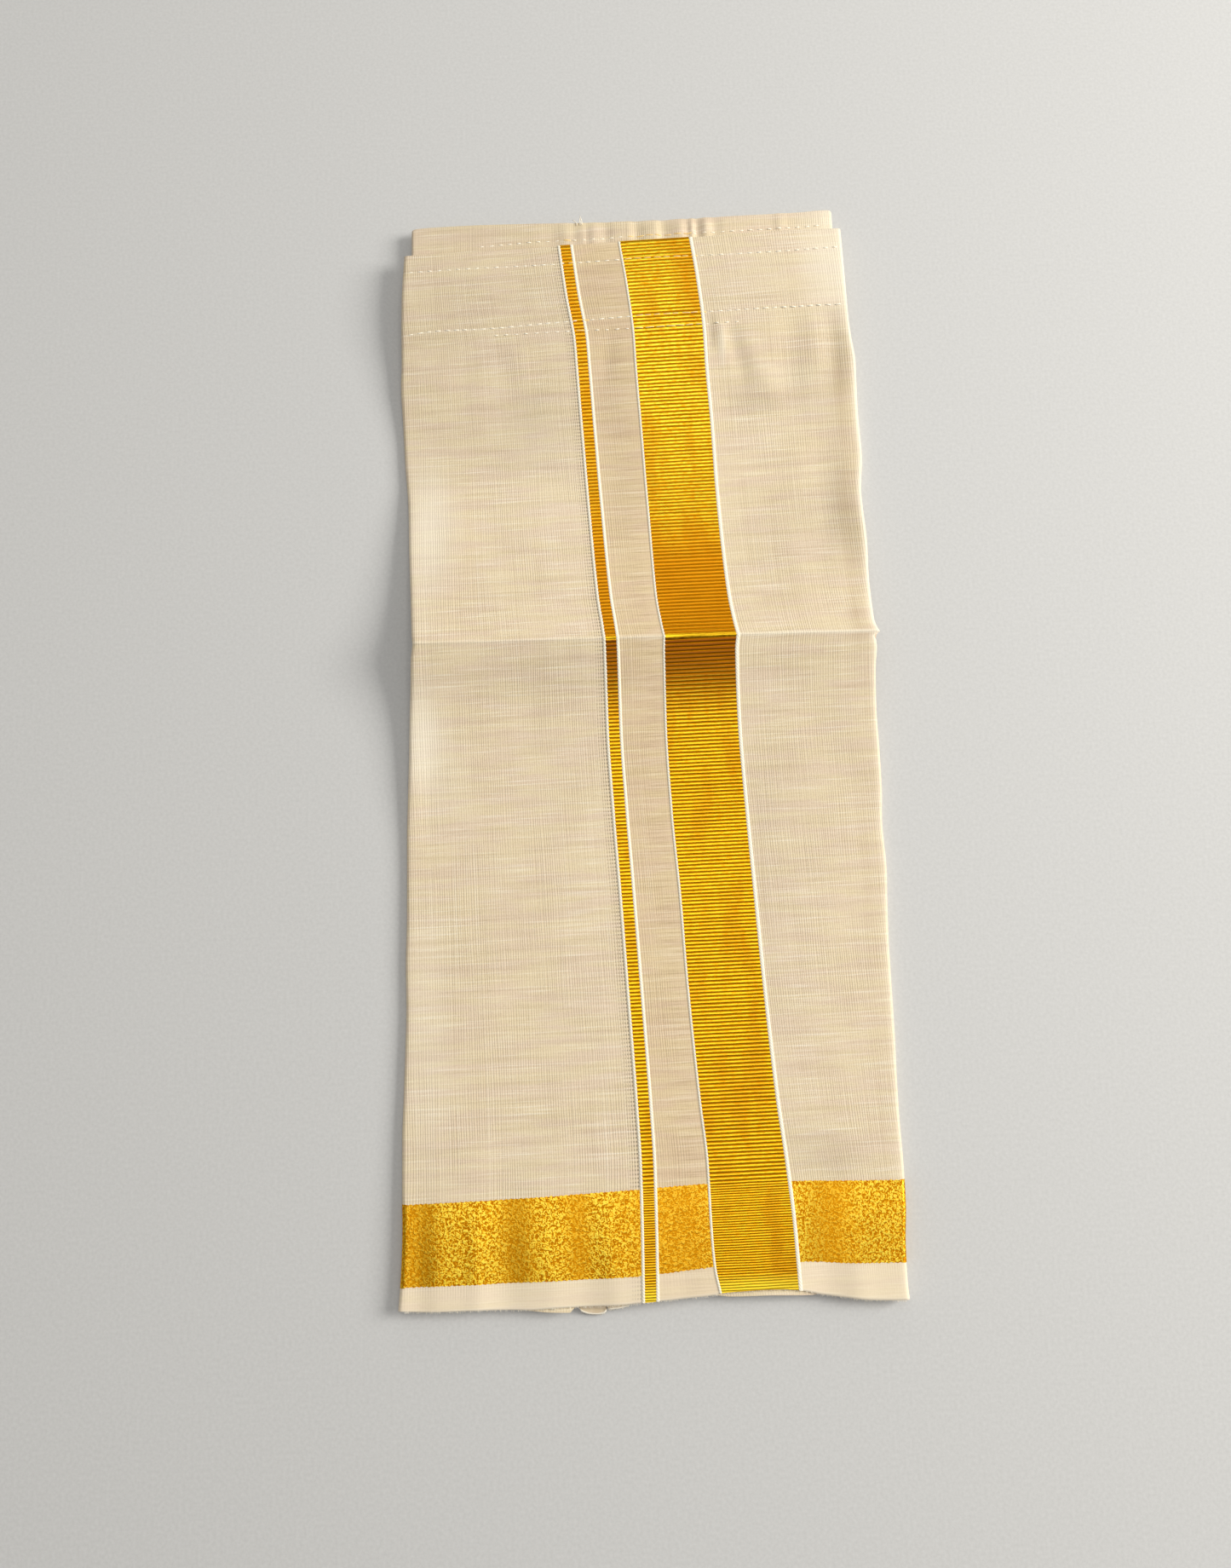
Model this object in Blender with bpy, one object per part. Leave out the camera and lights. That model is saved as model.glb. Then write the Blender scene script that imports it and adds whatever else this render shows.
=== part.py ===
"""A child's cotton dhoti with woven gold borders, folded in four and laid on a surface.

Metres, +Z up. X runs across the folded cloth and Y from its hem (-) to its waist (+).
The origin lies under the middle of the cloth, on the surface that it rests on.
Sizes below are in millimetres, and MM turns them into metres where a mesh is made.

A row of the cloth follows one weft thread. It is named by its height on the centre line,
here called its level, because the threads slope and bow a little across the cloth.
"""
import math

import bmesh
import bpy

MM = 0.001

# Cloth
WALL = 1.0
GAP = 0.3
STEP = WALL + GAP
CURL = 1.4
FOLD_RADIUS = 0.5 * GAP + WALL

# Woven bands
BAND = 0.4
CORD_RISE = 0.25
NARROW_GOLD = 3.6
NARROW_CORD = 1.4
WIDE_CORD_LEFT = 0.8
WIDE_CORD_RIGHT = 1.8
END_BAND = 0.3

# Levels of the rows that have a name
HEM = -192.0
BAND_LOW = -184.0
BAND_HIGH = -157.0
CREASE = 29.6
CASING_EDGE = 148.7
SEAM = 154.5
BACK_SEAM = 165.0
FOLD = 185.0
LAST_FLAT = FOLD - FOLD_RADIUS

# Moves the measured places so that the origin lies under the middle
SHIFT_X = 0.1
SHIFT_Y = 0.1

# Height of the underside, and the thickness of all layers, along the cloth
#   level, lift, stack
PROFILE = (
    (-192.0, 1.5, 2.8),
    (-170.0, 1.2, 2.8),
    (-147.0, 0.6, 2.8),
    (-125.0, 0.2, 2.8),
    (-102.0, 0.0, 2.8),
    (-38.0, 0.0, 2.8),
    (-27.0, 0.4, 2.8),
    (-18.0, 1.1, 2.8),
    (-8.0, 2.0, 2.8),
    (1.0, 3.1, 2.8),
    (11.0, 4.8, 2.8),
    (20.0, 7.1, 2.8),
    (CREASE, 9.6, 2.8),
    (34.0, 8.2, 2.8),
    (41.0, 6.6, 2.8),
    (51.0, 4.9, 2.8),
    (61.0, 3.7, 2.8),
    (72.0, 2.5, 2.8),
    (83.0, 1.3, 2.8),
    (96.0, 0.0, 2.8),
    (108.0, 0.0, 2.8),
    (120.0, 0.5, 2.9),
    (132.0, 1.1, 3.3),
    (142.0, 1.7, 3.7),
    (152.0, 2.2, 4.4),
    (161.0, 2.6, 4.9),
    (171.0, 3.0, 4.9),
    (185.0, 2.6, 4.9),
)

# Warp lines: both sides, the left edge of the narrow gold and both edges of the wide gold
#   level, left, narrow, wide_left, wide_right, right
WARPS = (
    (-193.0, -84.8, -5.0, 20.0, 45.5, 81.4),
    (-183.0, -84.0, -4.8, 18.7, 45.2, 81.7),
    (-170.0, -83.6, -4.6, 17.6, 44.5, 81.9),
    (-151.0, -84.5, -4.5, 17.4, 43.1, 82.3),
    (-129.0, -84.1, -5.2, 16.0, 41.2, 82.5),
    (-89.0, -83.2, -7.1, 13.3, 38.5, 82.9),
    (-60.0, -82.9, -8.5, 12.1, 37.1, 83.6),
    (-30.0, -82.4, -10.0, 10.2, 35.5, 83.9),
    (0.0, -81.1, -11.2, 9.1, 34.0, 83.6),
    (24.0, -80.3, -11.3, 9.3, 33.6, 83.2),
    (CREASE, -79.3, -11.5, 9.4, 34.1, 83.8),
    (36.0, -80.1, -12.2, 8.4, 33.2, 83.5),
    (46.0, -80.5, -13.2, 7.4, 32.2, 83.5),
    (79.0, -81.6, -15.4, 5.9, 30.3, 83.6),
    (113.0, -83.7, -17.4, 4.3, 29.4, 84.7),
    (136.0, -84.1, -18.7, 3.0, 28.2, 84.6),
    (147.0, -83.8, -19.4, 2.5, 27.9, 83.1),
    (165.0, -83.7, -21.9, 0.9, 26.5, 82.1),
    (185.0, -82.5, -24.0, -1.4, 24.5, 81.9),
)

# Weft lines: where the named rows run at places across the cloth
#   x, hem, band_low, band_high, seam, fold
WEFTS = (
    (-84.0, -193.0, -185.9, -160.0, 149.0, 181.9),
    (-50.0, -193.4, -185.5, -159.2, 151.1, 182.8),
    (-10.0, -192.6, -184.7, -157.5, 153.8, 184.7),
    (25.0, -189.7, -182.0, -155.9, 155.4, 186.1),
    (50.0, -191.6, -181.4, -155.7, 156.3, 187.6),
    (82.0, -194.4, -183.0, -156.3, 157.0, 188.5),
)
WEFT_LEVELS = ((HEM, 1), (BAND_LOW, 2), (BAND_HIGH, 3), (-60.0, None), (96.0, None), (SEAM, 4), (FOLD, 5))

# Rows of points: from each level up to the next one in this many steps
#   level, steps
ROW_STEPS = (
    (HEM, 1), (BAND_LOW, 2), (BAND_HIGH, 4), (-102.0, 2), (-38.0, 4), (-8.0, 4), (20.0, 3),
    (CREASE, 3), (41.0, 5), (83.0, 1), (96.0, 1), (108.0, 4), (SEAM, 3),
)

# Columns of points, as shares of the plain panels beside the bands
LEFT_PANEL = (0.0, 0.06, 0.18, 0.32, 0.43, 0.54, 0.68, 0.78, 0.9)
RIGHT_PANEL = (0.17, 0.36, 0.58, 0.8, 1.0)
CURL_ANGLES = (35.0, 75.0, 118.0)

# Soft troughs and ridges of the whole stack
#   x, level, half_width, half_length, height
RIPPLES = (
    (-79.0, HEM, 7.0, 60.0, -0.5),
    (-50.0, HEM, 10.0, 64.0, -0.7),
    (-24.0, HEM, 9.0, 50.0, -0.5),
    (33.0, HEM, 16.0, 40.0, 0.5),
    (55.0, HEM, 10.0, 56.0, -0.6),
    (37.0, 126.0, 10.0, 22.0, -0.4),
    (-44.0, 120.0, 16.0, 24.0, -0.4),
)

# Fold line of the back waist, which shows past the front's
#   x, edge
BACK_EDGE = (
    (-80.5, 193.2), (-74.7, 194.1), (-55.0, 194.7), (-17.0, 194.6),
    (22.0, 195.2), (56.0, 196.0), (70.0, 196.7), (78.3, 196.5),
)
# Small pleats of the strip that shows
#   x, height
PLEATS = (
    (-80.5, 0.0), (-60.0, 0.1), (-40.0, 0.0), (-34.0, -0.25), (-29.0, 0.15), (-23.5, -0.3),
    (-18.0, 0.35), (-12.0, -0.2), (-6.5, 0.3), (-1.0, -0.35), (5.0, 0.35), (10.5, -0.3),
    (16.0, 0.4), (21.5, -0.35), (27.0, 0.3), (33.0, -0.1), (42.0, 0.0), (60.0, 0.1), (78.3, 0.0),
)

# Hem of the layer under the front, which shows past it in two places
#   x, edge
UNDER_HEM = (
    (-82.5, -191.8), (-57.0, -193.7), (-39.0, -194.3), (-29.0, -195.1), (-28.0, -191.6),
    (0.0, -190.8), (18.5, -189.4), (19.8, -191.5), (32.0, -191.6), (47.5, -192.3),
    (48.8, -190.4), (79.0, -192.6),
)
# Frayed corner of a deeper layer
#   x, edge
HEM_CORNER = (
    (-28.0, -194.5), (-26.6, -195.7), (-19.7, -196.7), (-17.7, -195.2), (-11.2, -194.6), (-10.3, -193.5),
)

# Side of the hidden layers: how far in and how far down each point lies, grooved and at the ends
LAYERED_EDGE = ((0.3, 0.0), (0.0, 1 / 6), (0.35, 1 / 3), (0.0, 0.45))
ROUNDED_EDGE = ((0.4, 0.0), (0.25, 1 / 6), (0.1, 1 / 3), (0.0, 0.45))

CREAM = (0.735, 0.610, 0.430)
CREAM_SHADE = (0.640, 0.520, 0.360)
CREAM_LIGHT = (0.800, 0.690, 0.510)
GOLD = (0.740, 0.430, 0.030)
GOLD_LIGHT = (0.780, 0.500, 0.080)


def joint_slope(table, index, column, own):
    """Slope of the smooth curve at one row of a table; ends and the crease stay sharp."""
    if index in (0, len(table) - 1) or table[index][0] == CREASE:
        return own
    before = (table[index][column] - table[index - 1][column]) / (table[index][0] - table[index - 1][0])
    after = (table[index + 1][column] - table[index][column]) / (table[index + 1][0] - table[index][0])
    if before * after <= 0:
        return 0.0
    return 2 * before * after / (before + after)


def smooth(table, place, column=1):
    """Value of a column at a place in the first column, on a curve that never overshoots."""
    if place <= table[0][0]:
        return table[0][column]
    for index, (low, high) in enumerate(zip(table, table[1:])):
        if place <= high[0]:
            width = high[0] - low[0]
            own = (high[column] - low[column]) / width
            start = joint_slope(table, index, column, own) * width
            end = joint_slope(table, index + 1, column, own) * width
            t = (place - low[0]) / width
            rise = high[column] - low[column]
            return low[column] + t * (start + t * (3 * rise - 2 * start - end + t * (start + end - 2 * rise)))
    return table[-1][column]


def straight(table, place, column=1):
    """Value of a column at a place in the first column, on straight lines between the rows."""
    if place <= table[0][0]:
        return table[0][column]
    for low, high in zip(table, table[1:]):
        if place <= high[0]:
            share = (place - low[0]) / (high[0] - low[0])
            return low[column] + share * (high[column] - low[column])
    return table[-1][column]


def mix(low, high, share):
    """Value part of the way from low to high."""
    return low + share * (high - low)


def bump(distance):
    """1 in the middle, falling softly to 0 at a distance of 1."""
    if abs(distance) >= 1:
        return 0.0
    return 0.5 + 0.5 * math.cos(math.pi * distance)


def ripple(x, level):
    """Height of the soft troughs and ridges at a place on the cloth."""
    return sum(
        height * bump((x - centre) / half_width) * bump((level - middle) / half_length)
        for centre, middle, half_width, half_length, height in RIPPLES
    )


def row_y(x, level):
    """Where the row of this level runs at x."""
    lines = [
        (line, 0.0 if column is None else smooth(WEFTS, x, column) - line)
        for line, column in WEFT_LEVELS
    ]
    return level + straight(lines, level)


def underside(x, level):
    """Height of the underside of the stack."""
    return max(0.0, smooth(PROFILE, level, 1) + ripple(x, level))


def top(x, level):
    """Height of the upper face of the front cloth."""
    return smooth(PROFILE, level, 1) + smooth(PROFILE, level, 2) + ripple(x, level)


def levels():
    """Levels of all rows from the hem to the start of the waist fold."""
    stops = [level for level, _ in ROW_STEPS] + [LAST_FLAT]
    found = []
    for (start, steps), end in zip(ROW_STEPS, stops[1:]):
        found += [mix(start, end, step / steps) for step in range(steps)]
    return found + [LAST_FLAT]


def gold_edges(level):
    """Outer edges of the narrow and the wide band, cords included."""
    narrow = smooth(WARPS, level, 2)
    return (
        narrow - NARROW_CORD,
        narrow + NARROW_GOLD + NARROW_CORD,
        smooth(WARPS, level, 3) - WIDE_CORD_LEFT,
        smooth(WARPS, level, 4) + WIDE_CORD_RIGHT,
    )


def flat_columns(level):
    """x of each column between the two side folds."""
    left = smooth(WARPS, level, 1) + CURL
    right = smooth(WARPS, level, 5) - CURL
    narrow_left, narrow_right, wide_left, wide_right = gold_edges(level)
    columns = [mix(left, narrow_left, share) for share in LEFT_PANEL]
    columns += [narrow_left, narrow_right, mix(narrow_right, wide_left, 0.5)]
    columns += [wide_left, mix(wide_left, wide_right, 0.5), wide_right]
    columns += [mix(wide_right, right, share) for share in RIGHT_PANEL]
    return columns


class Point:
    """A place on the cloth's outer face, with the direction that points out of it."""

    def __init__(self, place, normal):
        self.place = place
        self.normal = normal

    def out(self, distance):
        """The place moved out of the face, or into it where the distance is negative."""
        return tuple(p + distance * n for p, n in zip(self.place, self.normal))


def flat_row(level):
    """Points of one row on the upper face, without the side folds."""
    return [Point((x, row_y(x, level), top(x, level)), (0.0, 0.0, 1.0)) for x in flat_columns(level)]


def curl_points(edge, side):
    """Points of one row where the cloth curls down round a side; side is -1 or 1."""
    x, y, z = edge.place
    points = []
    for angle in map(math.radians, CURL_ANGLES):
        across, up = math.sin(angle), math.cos(angle)
        place = (x + side * CURL * across, y, z - CURL * (1 - up))
        points.append(Point(place, (side * across, 0.0, up)))
    return points


def curled_row(flat):
    """The flat row with the side folds at both ends."""
    return curl_points(flat[0], -1)[::-1] + flat + curl_points(flat[-1], 1)


def waist_row(last, angle, corner_share=1.0, side_share=0.0):
    """The last row turned round the waist fold by an angle, less at its corners and sides."""
    row = []
    sides = len(CURL_ANGLES)
    for index, point in enumerate(last):
        from_side = min(index, len(last) - 1 - index)
        on_side = from_side < sides
        share = side_share if on_side else corner_share if from_side == sides else 1.0
        radius = 0.5 * WALL if on_side else FOLD_RADIUS
        turn = math.radians(angle * share)
        x, y, z = point.place
        nx, _, nz = point.normal
        inward = radius * (1 - math.cos(turn))
        place = (x - inward * nx, y + radius * math.sin(turn), z - inward * nz)
        normal = point.normal if on_side else (nx * math.cos(turn), math.sin(turn), nz * math.cos(turn))
        row.append(Point(place, normal))
    return row


def on_row(flat, x):
    """y and z on a flat row, between its two nearest columns."""
    table = [point.place for point in flat]
    return straight(table, x, 1), straight(table, x, 2)


def on_cloth(flats, level, x):
    """y and z on the faceted upper face, between its nearest rows and columns."""
    names = levels()
    for index, (low, high) in enumerate(zip(names, names[1:])):
        if level <= high:
            share = max(0.0, (level - low) / (high - low))
            (y0, z0), (y1, z1) = on_row(flats[index], x), on_row(flats[index + 1], x)
            return mix(y0, y1, share), mix(z0, z1, share)
    return on_row(flats[-1], x)


def material(name, colour, roughness, metallic):
    """A plain Principled BSDF material."""
    made = bpy.data.materials.new(name)
    made.use_nodes = True
    shader = made.node_tree.nodes["Principled BSDF"]
    shader.inputs["Base Color"].default_value = (*colour, 1.0)
    shader.inputs["Roughness"].default_value = roughness
    shader.inputs["Metallic"].default_value = metallic
    made.diffuse_color = (*colour, 1.0)
    return made


def closed_wall(name, outer, inner, finish):
    """One closed body between two grids of points that have the same rows and columns.

    Its columns run to the right of its rows, seen from outside the outer grid.
    """
    mesh = bmesh.new()
    grids = [
        [[mesh.verts.new(((x + SHIFT_X) * MM, (y + SHIFT_Y) * MM, z * MM)) for x, y, z in row] for row in grid]
        for grid in (outer, inner)
    ]
    rows, columns = len(outer), len(outer[0])
    for upper, (a, b) in ((True, (0, 1)), (False, (1, 0))):
        grid = grids[0] if upper else grids[1]
        for i in range(rows - 1):
            for j in range(columns - 1):
                face = (grid[i][j], grid[i][j + 1], grid[i + 1][j + 1], grid[i + 1][j])
                mesh.faces.new(face if upper else face[::-1])
    rim = [(0, j) for j in range(columns)] + [(i, columns - 1) for i in range(1, rows)]
    rim += [(rows - 1, j) for j in range(columns - 2, -1, -1)] + [(i, 0) for i in range(rows - 2, 0, -1)]
    for (i, j), (k, m) in zip(rim, rim[1:] + rim[:1]):
        mesh.faces.new((grids[0][i][j], grids[1][i][j], grids[1][k][m], grids[0][k][m]))
    data = bpy.data.meshes.new(name)
    mesh.to_mesh(data)
    mesh.free()
    data.shade_smooth()
    data.set_sharp_from_angle(angle=math.radians(40))
    data.materials.append(finish)
    made = bpy.data.objects.new(name, data)
    bpy.context.scene.collection.objects.link(made)
    return made


def front_cloth(rows):
    """The layer that shows: curled down round both sides and turned in at the waist."""
    last = rows[-1]
    turned = [waist_row(last, angle, 0.45, 0.2) for angle in (45, 90, 135, 180)]
    points = rows + turned
    outer = [[point.out(0.0) for point in row] for row in points]
    inner = [[point.out(-WALL) for point in row] for row in points]
    closed_wall("front_cloth", outer, inner, material("cream_cotton", CREAM, 0.85, 0.0))


def front_casing(flats):
    """The front's turned-down waist edge, under it and sewn through it."""
    stops = [CASING_EDGE] + [level for level in levels() if SEAM <= level < LAST_FLAT] + [LAST_FLAT - GAP]
    outer, inner = [], []
    for level in stops:
        left = smooth(WARPS, level, 1) + CURL + 0.5
        right = smooth(WARPS, level, 5) - CURL - 0.5
        row = []
        for step in range(11):
            x = mix(left, right, step / 10)
            y, z = on_cloth(flats, level, x)
            row.append((x, y, z - STEP))
        outer.append(row)
        inner.append([(x, y, z - WALL) for x, y, z in row])
    closed_wall("front_casing", outer, inner, material("cream_casing", CREAM_SHADE, 0.88, 0.0))


def hidden_row(flat, level, drop, edge):
    """Upper and lower path across the hidden layers, with the given shape of side."""
    left = smooth(WARPS, level, 1) + STEP + 0.3
    right = smooth(WARPS, level, 5) - STEP - 0.3
    upper = [(p.place[0], p.place[1], p.place[2] - drop) for p in flat[1:-1]]
    lower = [(x, y, min(z - 0.5, underside(x, level))) for x, y, z in upper]
    for x, inward in ((left, 1), (right, -1)):
        y, z = on_row(flat, x)
        high, low = z - drop, underside(x, level)
        above = [(x + inward * inset, y, mix(high, low, depth)) for inset, depth in edge]
        below = [(x + inward * inset, y, mix(low, high, depth)) for inset, depth in edge]
        if inward > 0:
            upper, lower = above[::-1] + upper, below[::-1] + lower
        else:
            upper, lower = upper + above, lower + below
    return upper, lower


def cloth_row(flats, level):
    """A flat row at any level, on the faceted face."""
    row = []
    for x in flat_columns(level):
        y, z = on_cloth(flats, level, x)
        row.append(Point((x, y, z), (0.0, 0.0, 1.0)))
    return row


def folded_layers(flats):
    """The hidden layers as one solid, flat underneath where it rests."""
    rows = [hidden_row(flat_row(BAND_LOW + GAP), BAND_LOW + GAP, STEP, ROUNDED_EDGE)]
    for level, flat in zip(levels(), flats):
        if BAND_LOW < level < CASING_EDGE:
            rows.append(hidden_row(flat, level, STEP, LAYERED_EDGE))
    for level in (CASING_EDGE - GAP, SEAM, mix(SEAM, BACK_SEAM, 0.5)):
        rows.append(hidden_row(cloth_row(flats, level), level, 2 * STEP, LAYERED_EDGE))
    rows.append(hidden_row(cloth_row(flats, BACK_SEAM), BACK_SEAM, 2 * STEP, ROUNDED_EDGE))
    upper = [row[0] for row in rows]
    lower = [row[1] for row in rows]
    closed_wall("folded_layers", upper, lower, material("cream_layers", CREAM_SHADE, 0.88, 0.0))


def back_waist(flats):
    """The back's waistband: a turned wall whose fold shows past the front's."""
    outer, inner = [], []
    for x, _ in PLEATS[::-1]:
        rise = smooth(PLEATS, x)
        fold_y, fold_z = on_cloth(flats, LAST_FLAT, x)
        edge = smooth(BACK_EDGE, x) - FOLD_RADIUS
        covered = [on_cloth(flats, level, x) for level in (BACK_SEAM + GAP, 174.0)]
        limb = [(y, z - 2 * STEP) for y, z in covered] + [(fold_y, fold_z - 2 * STEP)]
        shown = fold_z - 2 * STEP
        start = fold_y + FOLD_RADIUS + GAP
        limb += [(start, shown), (mix(start, edge, 0.4), shown - 0.1 + rise), (edge, shown - 0.3 + rise)]
        centre = shown - 0.3 + rise - FOLD_RADIUS
        turn = [math.radians(angle) for angle in (45, 90, 135)]
        path = [(x, y, z) for y, z in limb]
        path += [(x, edge + FOLD_RADIUS * math.sin(a), centre + FOLD_RADIUS * math.cos(a)) for a in turn]
        path += [(x, y, z - 2 * FOLD_RADIUS) for y, z in limb[::-1]]
        radius = 0.5 * GAP
        inside = [(x, y, z - WALL) for y, z in limb]
        inside += [(x, edge + radius * math.sin(a), centre + radius * math.cos(a)) for a in turn]
        inside += [(x, y, z - 2 * FOLD_RADIUS + WALL) for y, z in limb[::-1]]
        outer.append(path)
        inner.append(inside)
    closed_wall("back_waist", outer, inner, material("cream_back", CREAM_LIGHT, 0.85, 0.0))


def slab(name, flat, outline, drop, finish):
    """A layer's edge past the hem: a wall under the front's last row, out to its own outline."""
    places = {row[0] for row in outline}
    places |= {p.place[0] for p in flat if outline[0][0] < p.place[0] < outline[-1][0]}
    outer, inner = [], []
    for x in sorted(places):
        start, edge = row_y(x, BAND_LOW - GAP), straight(outline, x)
        _, z = on_row(flat, x)
        path = [(x, y, z - drop) for y in (start, mix(start, edge, 0.5), edge)]
        outer.append(path)
        inner.append([(px, py, pz - WALL) for px, py, pz in path])
    closed_wall(name, outer, inner, finish)


def blend_point(row, x):
    """A point on a row between its two nearest columns, with the direction out of the cloth."""
    for low, high in zip(row, row[1:]):
        if x <= high.place[0]:
            share = (x - low.place[0]) / (high.place[0] - low.place[0])
            place = tuple(mix(a, b, share) for a, b in zip(low.place, high.place))
            return Point(place, low.normal)
    return row[-1]


def long_band(name, rows, spans, left_cord, right_cord, finish):
    """A woven border on the front from hem to waist fold, with a thicker cord at each side."""
    outer, inner = [], []
    for flat, (start, end) in zip(rows, spans):
        places = (
            (start, 0.0), (start + 0.5 * left_cord, CORD_RISE), (start + left_cord, 0.0),
            (mix(start, end, 0.5), 0.0),
            (end - right_cord, 0.0), (end - 0.5 * right_cord, CORD_RISE), (end, 0.0),
        )
        points = [(blend_point(flat, x), rise) for x, rise in places]
        outer.append([point.out(GAP + BAND + rise) for point, rise in points])
        inner.append([point.out(GAP) for point, _ in points])
    closed_wall(name, outer, inner, finish)


def long_bands(flats, names):
    """Both lengthwise gold borders, carried over the waist fold."""
    sides = len(CURL_ANGLES)
    last = curled_row(flats[-1])
    turned = [waist_row(last, angle)[sides:-sides] for angle in (45, 90)]
    rows = flats + turned
    edges = [gold_edges(level) for level in names + [LAST_FLAT] * len(turned)]
    gold = material("gold_zari", GOLD, 0.38, 0.7)
    narrow = [span[:2] for span in edges]
    wide = [span[2:] for span in edges]
    long_band("border_narrow", rows, narrow, NARROW_CORD, NARROW_CORD, gold)
    long_band("border_wide", rows, wide, WIDE_CORD_LEFT, WIDE_CORD_RIGHT, gold)


def stretch(row, start, end):
    """Points of a row from start to end; None keeps the side fold at that end."""
    reach = 0.1
    points = [
        point for point in row
        if (start is None or point.place[0] > start + reach)
        and (end is None or point.place[0] < end - reach)
    ]
    flat = row[len(CURL_ANGLES):-len(CURL_ANGLES)]
    if start is None:
        points = points[1:]
    else:
        points = [blend_point(flat, start)] + points
    if end is None:
        return points[:-1]
    return points + [blend_point(flat, end)]


def end_bands(rows, names):
    """The crosswise gold band above the hem, in three stretches between the borders."""
    finish = material("gold_speckled", GOLD_LIGHT, 0.45, 0.6)
    grids = {"end_band_left": [], "end_band_middle": [], "end_band_right": []}
    for level, row in zip(names, rows):
        if BAND_LOW <= level <= BAND_HIGH:
            narrow_left, narrow_right, wide_left, wide_right = gold_edges(level)
            grids["end_band_left"].append(stretch(row, None, narrow_left - GAP))
            grids["end_band_middle"].append(stretch(row, narrow_right + GAP, wide_left - GAP))
            grids["end_band_right"].append(stretch(row, wide_right + GAP, None))
    for name, grid in grids.items():
        outer = [[point.out(GAP + END_BAND) for point in row] for row in grid]
        inner = [[point.out(GAP) for point in row] for row in grid]
        closed_wall(name, outer, inner, finish)


def main():
    for old in list(bpy.data.objects):
        bpy.data.objects.remove(old, do_unlink=True)
    names = levels()
    flats = [flat_row(level) for level in names]
    rows = [curled_row(flat) for flat in flats]
    front_cloth(rows)
    front_casing(flats)
    folded_layers(flats)
    back_waist(flats)
    slab("under_hem", flats[0], UNDER_HEM, STEP, material("cream_under", CREAM, 0.85, 0.0))
    slab("hem_corner", flats[0], HEM_CORNER, 2 * STEP, material("cream_frayed", CREAM_LIGHT, 0.9, 0.0))
    long_bands(flats, names)
    end_bands(rows, names)


main()
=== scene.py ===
"""Looks of the folded child's dhoti: its cloth, gold borders, cords, stitches and loose threads.

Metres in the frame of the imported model. The tables below are in millimetres, as in the part's
source, and MM turns them into metres where a mesh is made. A row of the cloth is named by its
level, its height on the centre line.
"""

import random
from math import cos, exp, hypot, pi, radians, sin

import bpy
from mathutils import Matrix, Vector, noise


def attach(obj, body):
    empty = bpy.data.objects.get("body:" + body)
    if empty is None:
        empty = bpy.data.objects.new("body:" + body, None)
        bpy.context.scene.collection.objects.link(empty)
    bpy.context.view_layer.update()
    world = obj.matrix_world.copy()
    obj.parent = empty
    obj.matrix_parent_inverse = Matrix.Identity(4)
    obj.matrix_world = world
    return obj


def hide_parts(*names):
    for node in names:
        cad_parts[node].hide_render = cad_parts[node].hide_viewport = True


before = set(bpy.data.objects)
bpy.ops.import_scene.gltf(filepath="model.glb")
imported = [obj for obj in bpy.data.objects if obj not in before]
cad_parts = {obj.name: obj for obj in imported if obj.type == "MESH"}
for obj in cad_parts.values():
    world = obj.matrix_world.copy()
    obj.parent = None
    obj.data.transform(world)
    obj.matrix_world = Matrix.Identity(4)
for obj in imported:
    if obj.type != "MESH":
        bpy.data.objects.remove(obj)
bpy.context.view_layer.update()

MM = 0.001
SHIFT = (0.1, 0.1)

# Cloth: its thickness, the radius of its side curl and of its waist fold, and the drop to a lower layer
CLOTH = 0.35
CURL = 1.4
FOLD_RADIUS = 1.15
STEP = 1.3
# Reach of the side folds underneath, and the level and length over which it shortens at the waist
LIP = 2.5
LIP_AT_WAIST = 0.25
LIP_SHORTENS = 128.0
LIP_FADE = 16.0
# How far the side folds turn at the waist, where they close
CLOSED_END = 0.9
# Inset of the casing, and the level from which the hidden layers sink to make room for it
CASING_INSET = 0.9
CASING_ROOM = 143.0
# Rounding of the back waist's two ends, and the level at which it takes its spots of painted shade and
# painted highlight
END_CURL = 0.9
BACK_PAINTED_LIGHT_LEVEL = 162.0
# Lowest height of any cloth over the surface
GROUND = 0.03

# Woven bands
NARROW_GOLD = 3.6
RIB_HEIGHT = 0.24
RIB_BASE = 0.05
BAND_RISE = 0.07
COTTON_RIB = 0.82

# Weave coordinate at the edges of the wide gold, and where the borders cross the crease
WIDE_START = 21.0
WIDE_END = 46.4
NARROW_HOME = -11.5
WIDE_HOME = 34.2
# Share of the borders' sway that the warp follows at the side folds, and where these are
LEAN_LEFT = 0.35
LEAN_RIGHT = 0.6
SIDE = 84.0
# Where the weft threads are counted, and the levels between which the rows run straight
WEFT_CENTRE = 10.0
STRAIGHT_FROM = -60.0
STRAIGHT_TO = 96.0

# Levels of the rows that have a name
HEM = -192.0
BAND_LOW = -184.0
BAND_HIGH = -157.0
CREASE = 29.6
CASING_EDGE = 148.7
SEAM = 154.5
BACK_SEAM = 165.0
FOLD = 185.0
LAST_FLAT = FOLD - FOLD_RADIUS

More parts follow.
